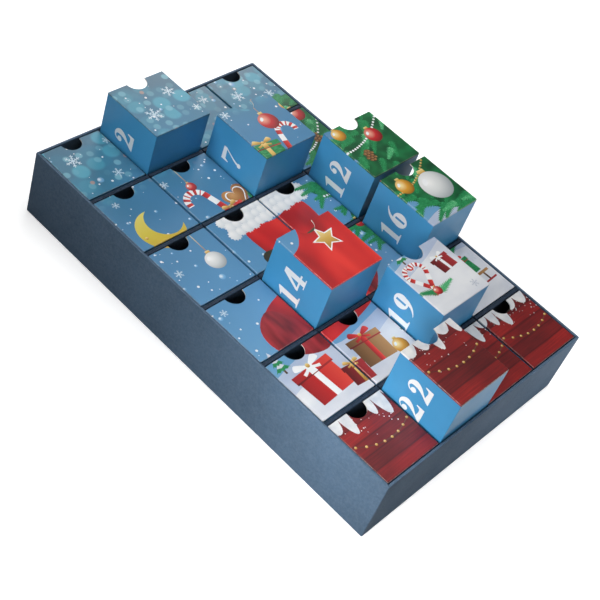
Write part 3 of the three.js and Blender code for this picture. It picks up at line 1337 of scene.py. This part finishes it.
# A full bowl with a slit, and a tail that thins upwards
SIX = Figure(0.62, [
    stroke((0.15, 0.34, 0.24), (0.14, 0.56, 0.19), (0.24, 0.80, 0.11), (0.42, 0.95, 0.05),
           (0.54, 1.0, 0.02)),
    bowl(0.31, 0.335, 0.31, 0.32, 36), opening(block(0.1, 0.46), 0.32, 0.32),
])
FIGURES = {
    "0": Figure(0.64, [bowl(0.32, 0.51, 0.32, 0.5, 40), opening(block(0.12, 0.76), 0.32, 0.5)]),
    "1": Figure(0.44, [
        plate((0.13, 0.02), (0.37, 0.02), (0.37, 1.0), (0.31, 1.0), (0.0, 0.83), (0.0, 0.80),
              (0.13, 0.80)),
        plate((0.0, 0.0), (0.5, 0.0), (0.5, 0.04), (0.37, 0.08), (0.13, 0.08), (0.0, 0.04)),
    ]),
    "2": Figure(0.68, [
        stroke((0.06, 0.72, 0.04), (0.10, 0.87, 0.05), (0.22, 0.965, 0.07), (0.38, 0.92, 0.15),
               (0.47, 0.74, 0.25), (0.41, 0.52, 0.19), (0.25, 0.31, 0.09), (0.08, 0.10, 0.05)),
        bowl(0.115, 0.115, 0.145, 0.715),
        plate(*smooth([(0.01, 0.0), (0.08, 0.14), (0.23, 0.215), (0.42, 0.185), (0.56, 0.21),
                       (0.62, 0.35)], 4, closed=False), (0.67, 0.35), (0.66, 0.0)),
    ]),
    "3": Figure(0.62, [
        stroke((0.07, 0.80, 0.04), (0.16, 0.95, 0.05), (0.30, 0.955, 0.09), (0.41, 0.78, 0.22),
               (0.35, 0.60, 0.12), (0.20, 0.53, 0.04)),
        stroke((0.20, 0.53, 0.04), (0.38, 0.47, 0.13), (0.46, 0.27, 0.26), (0.34, 0.06, 0.10),
               (0.17, 0.03, 0.05), (0.06, 0.17, 0.04)),
        bowl(0.105, 0.105, 0.145, 0.77), bowl(0.11, 0.11, 0.14, 0.21),
    ]),
    "4": Figure(0.74, [
        plate((0.36, 0.02), (0.60, 0.02), (0.60, 1.0), (0.36, 1.0)),
        plate((0.0, 0.25), (0.09, 0.25), (0.47, 0.85), (0.42, 1.0), (0.36, 1.0), (0.0, 0.32)),
        plate((0.0, 0.22), (0.74, 0.22), (0.74, 0.30), (0.0, 0.30)),
        plate((0.25, 0.0), (0.72, 0.0), (0.72, 0.045), (0.25, 0.045)),
    ]),
    "5": Figure(0.62, [
        plate((0.08, 0.47), (0.12, 0.47), (0.12, 0.83), (0.40, 0.80), (0.55, 0.86), (0.57, 1.0),
              (0.54, 1.0), (0.42, 0.965), (0.08, 1.0)),
        stroke((0.09, 0.49, 0.03), (0.22, 0.60, 0.05), (0.38, 0.53, 0.15), (0.46, 0.31, 0.26),
               (0.35, 0.07, 0.11), (0.18, 0.03, 0.05), (0.06, 0.16, 0.04)),
        bowl(0.11, 0.11, 0.14, 0.20),
    ]),
    "6": SIX,
    "7": Figure(0.62, [
        plate((0.02, 0.64), (0.06, 0.64), (0.13, 0.80), (0.62, 0.83), (0.62, 1.0), (0.02, 1.0)),
        stroke((0.59, 0.85, 0.05), (0.42, 0.55, 0.06), (0.30, 0.30, 0.08), (0.26, 0.12, 0.10)),
        bowl(0.10, 0.10, 0.26, 0.10),
    ]),
    "8": Figure(0.62, [
        bowl(0.26, 0.265, 0.31, 0.745, 32), bowl(0.31, 0.29, 0.31, 0.285, 32),
        opening(oval(0.06, 0.17, 20), 0.31, 0.765, 14), opening(oval(0.07, 0.205, 20), 0.31, 0.27, 14),
    ]),
    "9": SIX.upside_down(),
}


@dataclass(frozen=True)
class Number(Motif):
    """A number set along the first axis."""

    text: str
    height: float
    middle: Point  # the middle of its length, on its baseline
    gap: float = 0.27  # between two figures, as a share of the height

    def shapes(self) -> list[Shape]:
        """Sets its figures one after another.

        Returns:
            Their shapes.
        """
        figures = [FIGURES[digit] for digit in self.text]
        length = sum(figure.width for figure in figures) + self.gap * (len(figures) - 1)
        (x, y), height = self.middle, self.height
        x -= length * height / 2
        drawn = []
        for width, parts in figures:
            drawn += laid(parts, (x, y), size=height)
            x += (width + self.gap) * height
        return drawn


# Pieces


@dataclass
class CardMesh:
    """Gathers a piece's points and faces with each face's finish, then makes its object."""

    points: list[Vector] = field(default_factory=list)
    rubbed: list[float] = field(default_factory=list)
    faces: list[tuple[list[int], Finish, Shape | None]] = field(default_factory=list)

    def point(self, x: float, y: float, z: float, rubbed: float = 0.0) -> int:
        """Adds a point.

        Args:
            x: Its place across.
            y: Its place up.
            z: Its level.
            rubbed: How rubbed it is; along a drawer's fold this also sets a painted highlight.

        Returns:
            Its number.
        """
        self.points.append(Vector((x, y, z)))
        self.rubbed.append(rubbed)
        return len(self.points) - 1

    def face(self, loop: Sequence[int], finish: Finish, shape: Shape | None = None) -> None:
        """Adds a face, whose shading follows the printed shape that it is part of."""
        self.faces.append((list(loop), finish, shape))

    def strip(
        self, first: Sequence[int], second: Sequence[int], finish: Finish, shape: Shape | None = None
    ) -> None:
        """Joins two rows of as many points with faces, which narrow where they share a point.

        Args:
            first: One row.
            second: The other row, running the same way.
            finish: The faces' finish.
            shape: The printed shape that they are part of.
        """
        for a, b, c, d in zip(first, first[1:], second[1:], second):
            loop = list(dict.fromkeys((a, b, c, d)))
            if len(loop) > 2:
                self.face(loop, finish, shape)

    def slab(self, rows: Sequence[Sequence[int]], face: Finish, edge: Finish) -> None:
        """Adds a flat slab between two rows of points that run round its two sides.

        Args:
            rows: The two rows.
            face: The finish of its sides.
            edge: The finish of its edges.
        """
        for row in rows:
            self.face(row, face)
        self.strip(*[[*row, row[0]] for row in rows], edge)

    def make(self, name: str, body: str, slot: str, node: str) -> Object:
        """Makes the object, puts it on its body and lets it stand for its node.

        Args:
            name: The object's name.
            body: The body that it rides on.
            slot: Not used.
            node: The frame's node that it replaces.

        Returns:
            The object.
        """
        mesh = bpy.data.meshes.new(name)
        mesh.from_pydata([p * MM for p in self.points], [], [loop for loop, _, _ in self.faces])
        finishes = list(dict.fromkeys(finish for _, finish, _ in self.faces))
        for finish in finishes:
            mesh.materials.append(finish.material())
        shading = mesh.uv_layers.new(name=SHADING)
        for polygon, (loop, finish, shape) in zip(mesh.polygons, self.faces):
            polygon.material_index = finishes.index(finish)
            for corner, index in zip(polygon.loop_indices, loop):
                if shape:
                    shading.data[corner].uv = shape.shade_at(self.points[index].xy)
        rubbed = mesh.attributes.new(RUBBED_AND_HIGHLIGHT, "FLOAT", "POINT")
        rubbed.data.foreach_set("value", self.rubbed)
        work = bmesh.new()
        work.from_mesh(mesh)
        bmesh.ops.recalc_face_normals(work, faces=work.faces)
        work.to_mesh(mesh)
        work.free()
        piece = bpy.data.objects.new(name, mesh)
        bpy.context.scene.collection.objects.link(piece)
        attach(piece, body)
        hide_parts(node)
        return piece


def node_box(node: str) -> tuple[Vector, Vector]:
    """Gives a node's lowest and highest corners."""
    return tuple(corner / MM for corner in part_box(node))


class Column(NamedTuple):
    """What goes down a drawer's side from one point of its face, over the fold and the bleed."""

    top: int  # the point on the face
    place: Point
    outward: Point  # the way from there to the side
    shape: Shape | None  # what is printed over the fold from here to the next column
    down: list[int]  # the column's points, the one on the face first


@dataclass
class Drawer:
    """One drawer: a tray folded from a single printed card, open at its upper end."""

    number: int
    printed: list[Shape]
    card: float = 0.8
    fold: float = 0.5  # outer radius of a fold
    fold_rubbed: tuple[float, ...] = (0.2, 0.42, 0.05)  # how pale each step over a fold's edge is, from rubbed card and a painted highlight
    foot_rubbed: float = 0.3  # round the back
    thumb_radius: float = 9.2
    thumb_steps: int = 22
    bleed: float = 0.9  # how far the face's picture runs down the sides
    figure_height: float = 20.6
    figure_rise: float = 21.0  # from the lower end to the number's foot
    figure_below: float = 26.5  # from the face to the middle of the number
    flap_width: float = 17.0
    flap_taper: float = 5.0  # how far a flap's outer edge is cut back at each end

    def __post_init__(self) -> None:
        """Takes the tray's corners from its node, and the corners of its flat from its folds."""
        self.node = f"drawer_{self.number:02d}"
        self.low, self.high = node_box(self.node)
        self.left, self.right = self.low.x + self.fold, self.high.x - self.fold
        self.foot, self.head = self.low.y + self.fold, self.high.y
        self.middle = (self.left + self.right) / 2
        self.fold_steps = len(self.fold_rubbed)
        self.mesh = CardMesh()

    def nearest(self, ids: Sequence[int], x: float, y: float) -> int:
        """Gives which of the points on the face lies nearest a place."""
        return min(ids, key=lambda i: (self.mesh.points[i].xy - Vector((x, y))).length)

    def print_face(self) -> None:
        """Lays the picture's patches on the face, and keeps its rim from the upper left corner on.

        The rim runs counter-clockwise: each point with the shape on the edge that follows it.
        """
        turns = [math.pi * i / self.thumb_steps for i in range(self.thumb_steps + 1)]
        notch = [(self.middle + self.thumb_radius * math.cos(a),
                  self.head - self.thumb_radius * math.sin(a)) for a in turns]
        sheet = [(self.left, self.foot), (self.right, self.foot), (self.right, self.head), *notch,
                 (self.left, self.head)]
        corners, patches = partition(sheet, self.printed)
        used = sorted({i for loop, _ in patches for i in loop})
        number = {i: self.mesh.point(*corners[i], self.high.z) for i in used}
        edges = {}
        for loop, shape in patches:
            ids = [number[i] for i in loop]
            self.mesh.face(ids, shape.ink if shape else SKY, shape)
            edges.update({(a, b): shape for a, b in zip(ids, ids[1:] + ids[:1])})
        onward = {a: (b, shape) for (a, b), shape in edges.items() if (b, a) not in edges}
        here = self.nearest(list(onward), self.left, self.head)
        self.rim = []
        while onward:
            following, shape = onward.pop(here)
            self.rim.append((here, shape))
            here = following

    def let_columns_down(self) -> None:
        """Lets a column down from each point of the rim, and several round each corner."""
        ids = [index for index, _ in self.rim]
        corners = [self.nearest(ids, x, self.foot) for x in (self.left, self.right)]
        last = self.nearest(ids, self.right, self.head)
        self.row, turn, before = [], 180.0, self.rim[-1][1]
        for index, shape in self.rim:
            turns = [turn]
            if index in corners:
                turns = [turn + 90 * i / self.fold_steps for i in range(self.fold_steps + 1)]
                turn += 90
            for angle in turns:
                self.row.append(self.column(index, angle, shape if angle == turn else before))
            before = shape
            if index == last:
                break
        self.spans = [i for i, (a, b, c) in enumerate(
            zip([self.row[0], *self.row], self.row, [*self.row[1:], self.row[-1]])
        ) if b.top in (a.top, c.top)]

    def column(self, index: int, turn: float, shape: Shape | None) -> Column:
        """Adds the points of one column.

        Args:
            index: The point on the face.
            turn: The way to the side.
            shape: The printed shape that runs over the fold there.

        Returns:
            The column.
        """
        x, y = self.mesh.points[index].xy
        u, v = math.cos(math.radians(turn)), math.sin(math.radians(turn))
        down = [index]
        # the pale line down each fold is part rubbed card, part painted highlight
        for step, rubbed in enumerate(self.fold_rubbed, 1):
            a = math.pi / 2 * step / self.fold_steps
            out, fall = self.fold * math.sin(a), self.fold * (1 - math.cos(a))
            down.append(self.mesh.point(x + u * out, y + v * out, self.high.z - fall, rubbed))
        level = self.high.z - self.fold - self.bleed
        down.append(self.mesh.point(x + u * self.fold, y + v * self.fold, level))
        return Column(index, (x, y), (u, v), shape, down)

    def turn_feet_in(self) -> None:
        """Adds the points from the sides' lower edge round the back folds to the flat back."""
        self.feet, flat = [], {}
        for column in (self.row[i] for i in self.spans):
            (x, y), (u, v) = column.place, column.outward
            foot = []
            for step in range(self.fold_steps):
                a = math.pi / 2 * step / self.fold_steps
                out, rise = self.fold * math.cos(a), self.fold * (1 - math.sin(a))
                rubbed = self.foot_rubbed if step else 0.0
                foot.append(self.mesh.point(x + u * out, y + v * out, self.low.z + rise, rubbed))
            if column.top not in flat:
                flat[column.top] = self.mesh.point(x, y, self.low.z)
            self.feet.append([*foot, flat[column.top]])

    def print_sides(self) -> None:
        """Runs the picture over the folds, and fills the sides and the back."""
        for a, b in zip(self.row, self.row[1:]):
            self.mesh.strip(a.down, b.down, a.shape.ink if a.shape else SKY, a.shape)
        for k, (i, j) in enumerate(zip(self.spans, self.spans[1:])):
            upper = [column.down[-1] for column in self.row[i : j + 1]]
            ring = [self.feet[k + 1][0], self.feet[k][0], *upper]
            if k == 0:
                self.print_number(ring)
            else:
                self.mesh.face(ring, BLUE_SIDE)
            self.mesh.strip(self.feet[k], self.feet[k + 1], BLUE_SIDE)
        flat = dict.fromkeys(foot[-1] for foot in self.feet)
        self.mesh.face(list(flat), BLUE_SIDE)

    def print_number(self, ring: list[int]) -> None:
        """Fills the left side, with the number printed on it.

        Args:
            ring: The side's points, counter-clockwise on Y and Z.
        """
        middle = (self.high.z - self.figure_below, self.low.y + self.figure_rise)
        figures = Number(str(self.number), self.figure_height, middle).shapes()
        turned = [Shape([(v, u) for u, v in figure.outline], figure.ink) for figure in figures]
        corners, patches = partition([tuple(self.mesh.points[i].yz) for i in ring], turned)
        known = dict(enumerate(ring))
        for loop, shape in patches:
            for i in loop:
                if i not in known:
                    known[i] = self.mesh.point(self.low.x, *corners[i])
            self.mesh.face([known[i] for i in loop], shape.ink if shape else BLUE_SIDE)

    def cut_edges(self) -> None:
        """Adds the cut rim at the open end and the notch's cut edge, and lines the inside."""
        mesh, t, low, high = self.mesh, self.card, self.low, self.high
        ids = [index for index, _ in self.rim]
        tops = [*ids[ids.index(self.row[-1].top):], ids[0]]
        right, left = (tops.index(self.nearest(tops, self.middle + side * self.thumb_radius, self.head))
                       for side in (1, -1))
        arc = tops[right : left + 1]
        under = [mesh.point(*mesh.points[i].xy, high.z - t) for i in arc]
        mesh.strip(arc, under, CUT_CARD)
        corners = [(high.x - t, high.z - t), (high.x - t, low.z + t), (low.x + t, low.z + t),
                   (low.x + t, high.z - t)]
        mouth, end = ([mesh.point(x, y, z) for x, z in corners] for y in (self.head, low.y + t))
        mesh.face([
            *tops[left:], *self.row[0].down[1:], *self.feet[0], *self.feet[-1][::-1],
            *self.row[-1].down[:0:-1], *tops[: right + 1], under[0], *mouth, under[-1],
        ], CUT_CARD)
        mesh.face([*under, mouth[3], end[3], end[0], mouth[0]], BARE_CARD)
        mesh.strip(mouth, end, BARE_CARD)
        mesh.face(end, BARE_CARD)

    def glue_flaps(self) -> None:
        """Adds the two flaps glued inside the lower end."""
        t, taper = self.card, self.flap_taper
        low, high = self.low.z + t, self.high.z - t
        for side, wall in ((1, self.low.x + t), (-1, self.high.x - t)):
            edge = wall + side * self.flap_width
            outline = [(wall, low), (edge, low + taper), (edge, high - taper), (wall, high)]
            rows = [[self.mesh.point(x, self.low.y + layers * t, z) for x, z in outline]
                    for layers in (2, 1)]
            self.mesh.slab(rows, BARE_CARD, CUT_CARD)

    def build(self) -> Object:
        """Builds the tray from its face down to its back, then its cut edges and its inside.

        Returns:
            The tray.
        """
        self.print_face()
        self.let_columns_down()
        self.turn_feet_in()
        self.print_sides()
        self.cut_edges()
        self.glue_flaps()
        return self.mesh.make(f"{self.node}_tray", self.node, "printed_card", self.node)


@dataclass
class Cover:
    """The slate paper wrapped round the walls, over the rim, down inside and under the back."""

    paper: float = 0.25
    stack: float = 2.1  # a wall with its paper on both sides
    fold: float = 0.45  # outer radius where it turns over an edge
    corner: float = 0.9  # outer radius at the case's upright corners
    least: float = 0.02  # radius of a corner far inside that one
    steps: int = 4
    turn_in: float = 14.0
    turn_under: float = 15.0
    rim_rubbed: float = 0.15

    def turn(self, inset: float, level: float, start: float) -> list[Point3]:
        """Draws a quarter round of the paper in section.

        Args:
            inset: The quarter round's middle, from the outside in.
            level: The height of its middle.
            start: The angle that it starts from, clockwise.

        Returns:
            Its points: inset, height and how rubbed they are.
        """
        turns = [math.radians(start - 90 * i / self.steps) for i in range(self.steps + 1)]
        return [(inset + self.fold * math.cos(a), level + self.fold * math.sin(a), self.rim_rubbed)
                for a in turns]

    def section(self, foot: float, rim: float) -> list[Point3]:
        """Draws the wrapped paper in section.

        Args:
            foot: Height of its lower side.
            rim: Height of its upper side.

        Returns:
            Points round the section: inset from the outside, height and how rubbed they are.
        """
        f, p, s = self.fold, self.paper, self.stack
        inside = [(s, rim - self.turn_in), (s - p, rim - self.turn_in), (s - p, rim - p),
                  (p, rim - p), (p, foot + p), (self.turn_under, foot + p)]
        return [
            (self.turn_under, foot, 0.0), *self.turn(f, foot + f, 270), *self.turn(f, rim - f, 180),
            *self.turn(s - f, rim - f, 90), *((x, z, 0.0) for x, z in inside),
        ]

    def build(self) -> Object:
        """Runs the section round the case, with round corners where it lies outermost.

        Returns:
            The cover.
        """
        low, high = node_box("paper_cover")
        mesh = CardMesh()
        rings = []
        for inset, level, rubbed in self.section(low.z, high.z):
            radius = max(self.corner - inset, self.least)
            ring = []
            for quarter, (sx, sy) in enumerate(((1, 1), (-1, 1), (-1, -1), (1, -1))):
                x, y = sx * (high.x - inset - radius), sy * (high.y - inset - radius)
                for i in range(self.steps + 1):
                    a = math.radians(90 * (quarter + i / self.steps))
                    spot = (x + radius * math.cos(a), y + radius * math.sin(a))
                    ring.append(mesh.point(*spot, level, rubbed))
            rings.append([*ring, ring[0]])
        for first, second in zip(rings, rings[1:] + rings[:1]):
            mesh.strip(first, second, COVER_PAPER)
        return mesh.make("wrapped_cover", "case", "slate_paper", "paper_cover")


@dataclass
class GridCard:
    """One card of the egg-crate grid, standing on edge, with halving slots."""

    node: str
    crossing: Sequence[str]  # the nodes that pass through its slots
    from_front: bool  # whether its slots are open at the front, not at the back
    rounding: float  # radius of its front edge
    rounding_steps: int = 3
    rubbed: float = 0.35  # how rubbed that edge is
    play: float = 0.3  # on each side of a crossing card, and at the laps

    def lap_level(self) -> float:
        """Gives the height where the slot ends, halfway up what the two cards share.

        Returns:
            The height.
        """
        (low, high), (cross_low, cross_high) = node_box(self.node), node_box(self.crossing[0])
        middle = (max(low.z, cross_low.z) + min(high.z, cross_high.z)) / 2
        return middle + (0 if self.from_front else self.play)

    def build(self) -> Object:
        """Draws the slotted outline, gives it the card's thickness and rounds its front edge.

        Returns:
            The card.
        """
        low, high = node_box(self.node)
        along = int(high.y - low.y > high.x - low.x)
        shut, opened = (low.z, high.z) if self.from_front else (high.z, low.z)
        lap = self.lap_level()
        outline = [(low[along], shut), (low[along], opened)]
        for start, end in sorted((node_box(n) for n in self.crossing), key=lambda box: box[0][along]):
            left, right = start[along] - self.play, end[along] + self.play
            outline += [(left, opened), (left, lap), (right, lap), (right, opened)]
        outline += [(high[along], opened), (high[along], shut)]
        mesh = CardMesh()
        rows = [
            [mesh.point(*((depth, u) if along else (u, depth)), z) for u, z in outline]
            for depth in (low[1 - along], high[1 - along])
        ]
        mesh.slab(rows, GRID_CARD, GRID_CARD)
        piece = mesh.make(f"{self.node}_card", "case", "slate_card", self.node)
        self.round_front(piece, high.z, along)
        return piece

    def round_front(self, piece: Object, top: float, along: int) -> None:
        """Rounds the long edges at the front.

        Args:
            piece: The card.
            top: Height of its front.
            along: The axis that it runs along.
        """
        work = bmesh.new()
        work.from_mesh(piece.data)
        front = [
            e for e in work.edges
            if all(abs(v.co.z / MM - top) < SAME_PLACE for v in e.verts)
            and abs(e.verts[0].co[along] - e.verts[1].co[along]) > self.rounding * MM
        ]
        made = bmesh.ops.bevel(
            work, geom=front, offset=self.rounding * MM, affect="EDGES",
            segments=self.rounding_steps, profile=0.5,
        )
        rubbed = work.verts.layers.float.get(RUBBED_AND_HIGHLIGHT)
        for vert in made["verts"]:
            vert[rubbed] = self.rubbed
        bmesh.ops.recalc_face_normals(work, faces=work.faces)
        work.to_mesh(piece.data)
        work.free()


@dataclass
class Case:
    """The case: its cover and grid as built pieces, and the frame's boards with their finishes."""

    boards: tuple[str, ...] = ("back_board", "left_wall", "right_wall", "bottom_wall", "top_wall")
    shelves: tuple[str, ...] = tuple(f"shelf_{i}" for i in range(1, 6))
    dividers: tuple[str, ...] = tuple(f"divider_{i}" for i in range(1, 4))
    shelf_rounding: float = 0.6
    divider_rounding: float = 0.25

    def build(self) -> list[Object]:
        """Builds every piece of the case and dresses the ones that the frame gives.

        Returns:
            The built pieces.
        """
        dressing = dict.fromkeys(self.boards, GREYBOARD) | {"back_sheet": COVER_PAPER}
        for node, finish in dressing.items():
            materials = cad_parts[node].data.materials
            materials.clear()
            materials.append(finish.material())
        cards = [GridCard(n, self.dividers, True, self.shelf_rounding) for n in self.shelves]
        cards += [GridCard(n, self.shelves, False, self.divider_rounding) for n in self.dividers]
        return [Cover().build(), *(card.build() for card in cards)]


# Studio


def hung(name: str, data: Camera | Light, at: Point3, aim: Point3, roll: float = 0.0) -> Object:
    """Hangs the camera or a lamp so that it looks at a point.

    Args:
        name: The object's name.
        data: The camera or the lamp.
        at: Where it hangs.
        aim: What it looks at.
        roll: How far it is rolled, counter-clockwise.

    Returns:
        The object.
    """
    made = bpy.data.objects.new(name, data)
    made.location = Vector(at) * MM
    look = (Vector(aim) - Vector(at)).to_track_quat("-Z", "Y")
    made.rotation_mode = "QUATERNION"
    made.rotation_quaternion = look @ Quaternion((0, 0, 1), math.radians(roll))
    bpy.context.scene.collection.objects.link(made)
    return made


@dataclass(frozen=True)
class Softbox:
    """A square soft lamp that looks at a point of the calendar."""

    name: str
    at: Point3
    aim: Point3
    size: float
    watts: float
    spread: float = 180.0  # how wide its beam opens

    def build(self) -> None:
        """Hangs the lamp, unseen by the camera."""
        data = bpy.data.lights.new(self.name, "AREA")
        data.energy = self.watts
        data.size = self.size * MM
        data.spread = math.radians(self.spread)
        hung(self.name, data, self.at, self.aim).visible_camera = False


@dataclass(frozen=True)
class Studio:
    """The white floor, the lamps and the camera at the photograph's angle."""

    camera_at: Point3 = (-656.3, -353.0, 739.9)
    camera_aim: Point3 = (-21.6, -19.8, 31.0)
    camera_roll: float = 22.13  # counter-clockwise
    lens: float = 78.1  # on a frame 36 mm wide
    floor_sides: Point = (6000.0, 6000.0)
    floor_gap: float = 0.05  # from the floor up to the calendar
    floor_tones: Stops = ((0.0, "#f2f2f2"), (1.0, "#f8f8f8"))
    floor_patch: float = 3.0
    floor_roughness: float = 0.9
    floor_lift: float = 0.55  # strength added to the floor where the shadow lies, up to 1 far off
    shadow_reach: float = 240.0  # how far the shadow lies from the calendar's middle
    white_from: float = 600.0  # how far off the floor is all white
    floor_thrown: str = "#6e6e6e"  # what the floor throws back at the calendar
    ambient: float = 0.035  # strength of the light from all round
    lamps: tuple[Softbox, ...] = (
        Softbox("overhead_softbox", (60, 40, 1400), (0, 0, 0), 700, 8.4),
        Softbox("left_softbox", (-500, 200, 420), (70, 40, 80), 280, 0.18, 44),
        Softbox("near_left_softbox", (-335, -190, 155), (-105, -140, 43), 150, 0.19, 76),
        Softbox("lower_side_softbox", (170, -360, 110), (60, -150, 50), 160, 0.29),
        Softbox("back_softbox", (450, 560, 340), (0, 0, 50), 300, 0.65, 120),
    )

    def build(self) -> None:
        """Sets up the view, the light and the floor."""
        scene = bpy.context.scene
        scene.view_settings.view_transform = "Standard"
        data = bpy.data.cameras.new("camera")
        data.lens = self.lens
        scene.camera = hung("camera", data, self.camera_at, self.camera_aim, self.camera_roll)
        for lamp in self.lamps:
            lamp.build()
        self.surround()
        self.floor()

    def surround(self) -> None:
        """Makes the even light from all round, which the camera sees as plain white."""
        world = bpy.data.worlds.new("studio_world")
        bpy.context.scene.world = world
        on = Shader(world)
        light, white = (
            on.add("Background", {"Color": linear(WHITE), "Strength": strength})
            for strength in (self.ambient, 1.0)
        )
        seen = on.add("LightPath").outputs["Is Camera Ray"]
        on.add("OutputWorld", {"Surface": on.add("MixShader", {0: seen, 1: light, 2: white})})

    def floor(self) -> None:
        """Lays a white floor that keeps the shadow and clears to white away from it."""
        corners = [Vector((x, y, -self.floor_gap)) * MM for x, y in block(*self.floor_sides)]
        mesh = bpy.data.meshes.new("floor")
        mesh.from_pydata(corners, [], [range(len(corners))])
        mesh.materials.append(self.floor_paper())
        floor = bpy.data.objects.new("floor", mesh)
        bpy.context.scene.collection.objects.link(floor)

    def floor_paper(self) -> Material:
        """Makes the floor's matt background paper.

        The camera sees it lifted to white. The card's film mirrors it as the lamps light it, and
        dull surfaces get its light as if from a greyer paper.

        Returns:
            The material.
        """
        material = bpy.data.materials.new("white_background_paper")
        on = Shader(material)
        tone = on.add("ValToRGB", {"Fac": on.speckle(self.floor_patch)}, stops=self.floor_tones)
        paper = on.add("BsdfPrincipled", {"Base Color": tone, "Roughness": self.floor_roughness})
        away = on.add("VectorMath", {0: on.place}, operation="LENGTH").outputs["Value"]
        lift = on.add("MapRange", {
            "Value": away, "From Min": self.shadow_reach * MM, "From Max": self.white_from * MM,
            "To Min": self.floor_lift, "To Max": 1.0,
        })
        glow = on.add("Emission", {"Color": linear(WHITE), "Strength": lift})
        lifted = on.add("AddShader", {0: paper, 1: glow})
        thrown = on.add("BsdfDiffuse", {"Color": linear(self.floor_thrown)})
        seen = on.add("LightPath").outputs
        unlifted = on.add("MixShader", {0: seen["Is Glossy Ray"], 1: thrown, 2: paper})
        both = on.add("MixShader", {0: seen["Is Camera Ray"], 1: unlifted, 2: lifted})
        on.add("OutputMaterial", {"Surface": both})
        return material


def main() -> None:
    """Builds the studio, the case and the drawers."""
    logging.basicConfig(level=logging.INFO, format="%(message)s")
    Studio().build()
    pieces = Case().build()
    printed = Picture().shapes()
    pieces += [Drawer(number, printed).build() for number in range(1, DRAWERS + 1)]
    for piece in pieces:
        logging.info("%s: %d faces", piece.name, len(piece.data.polygons))


if __name__ == "__main__":
    main()
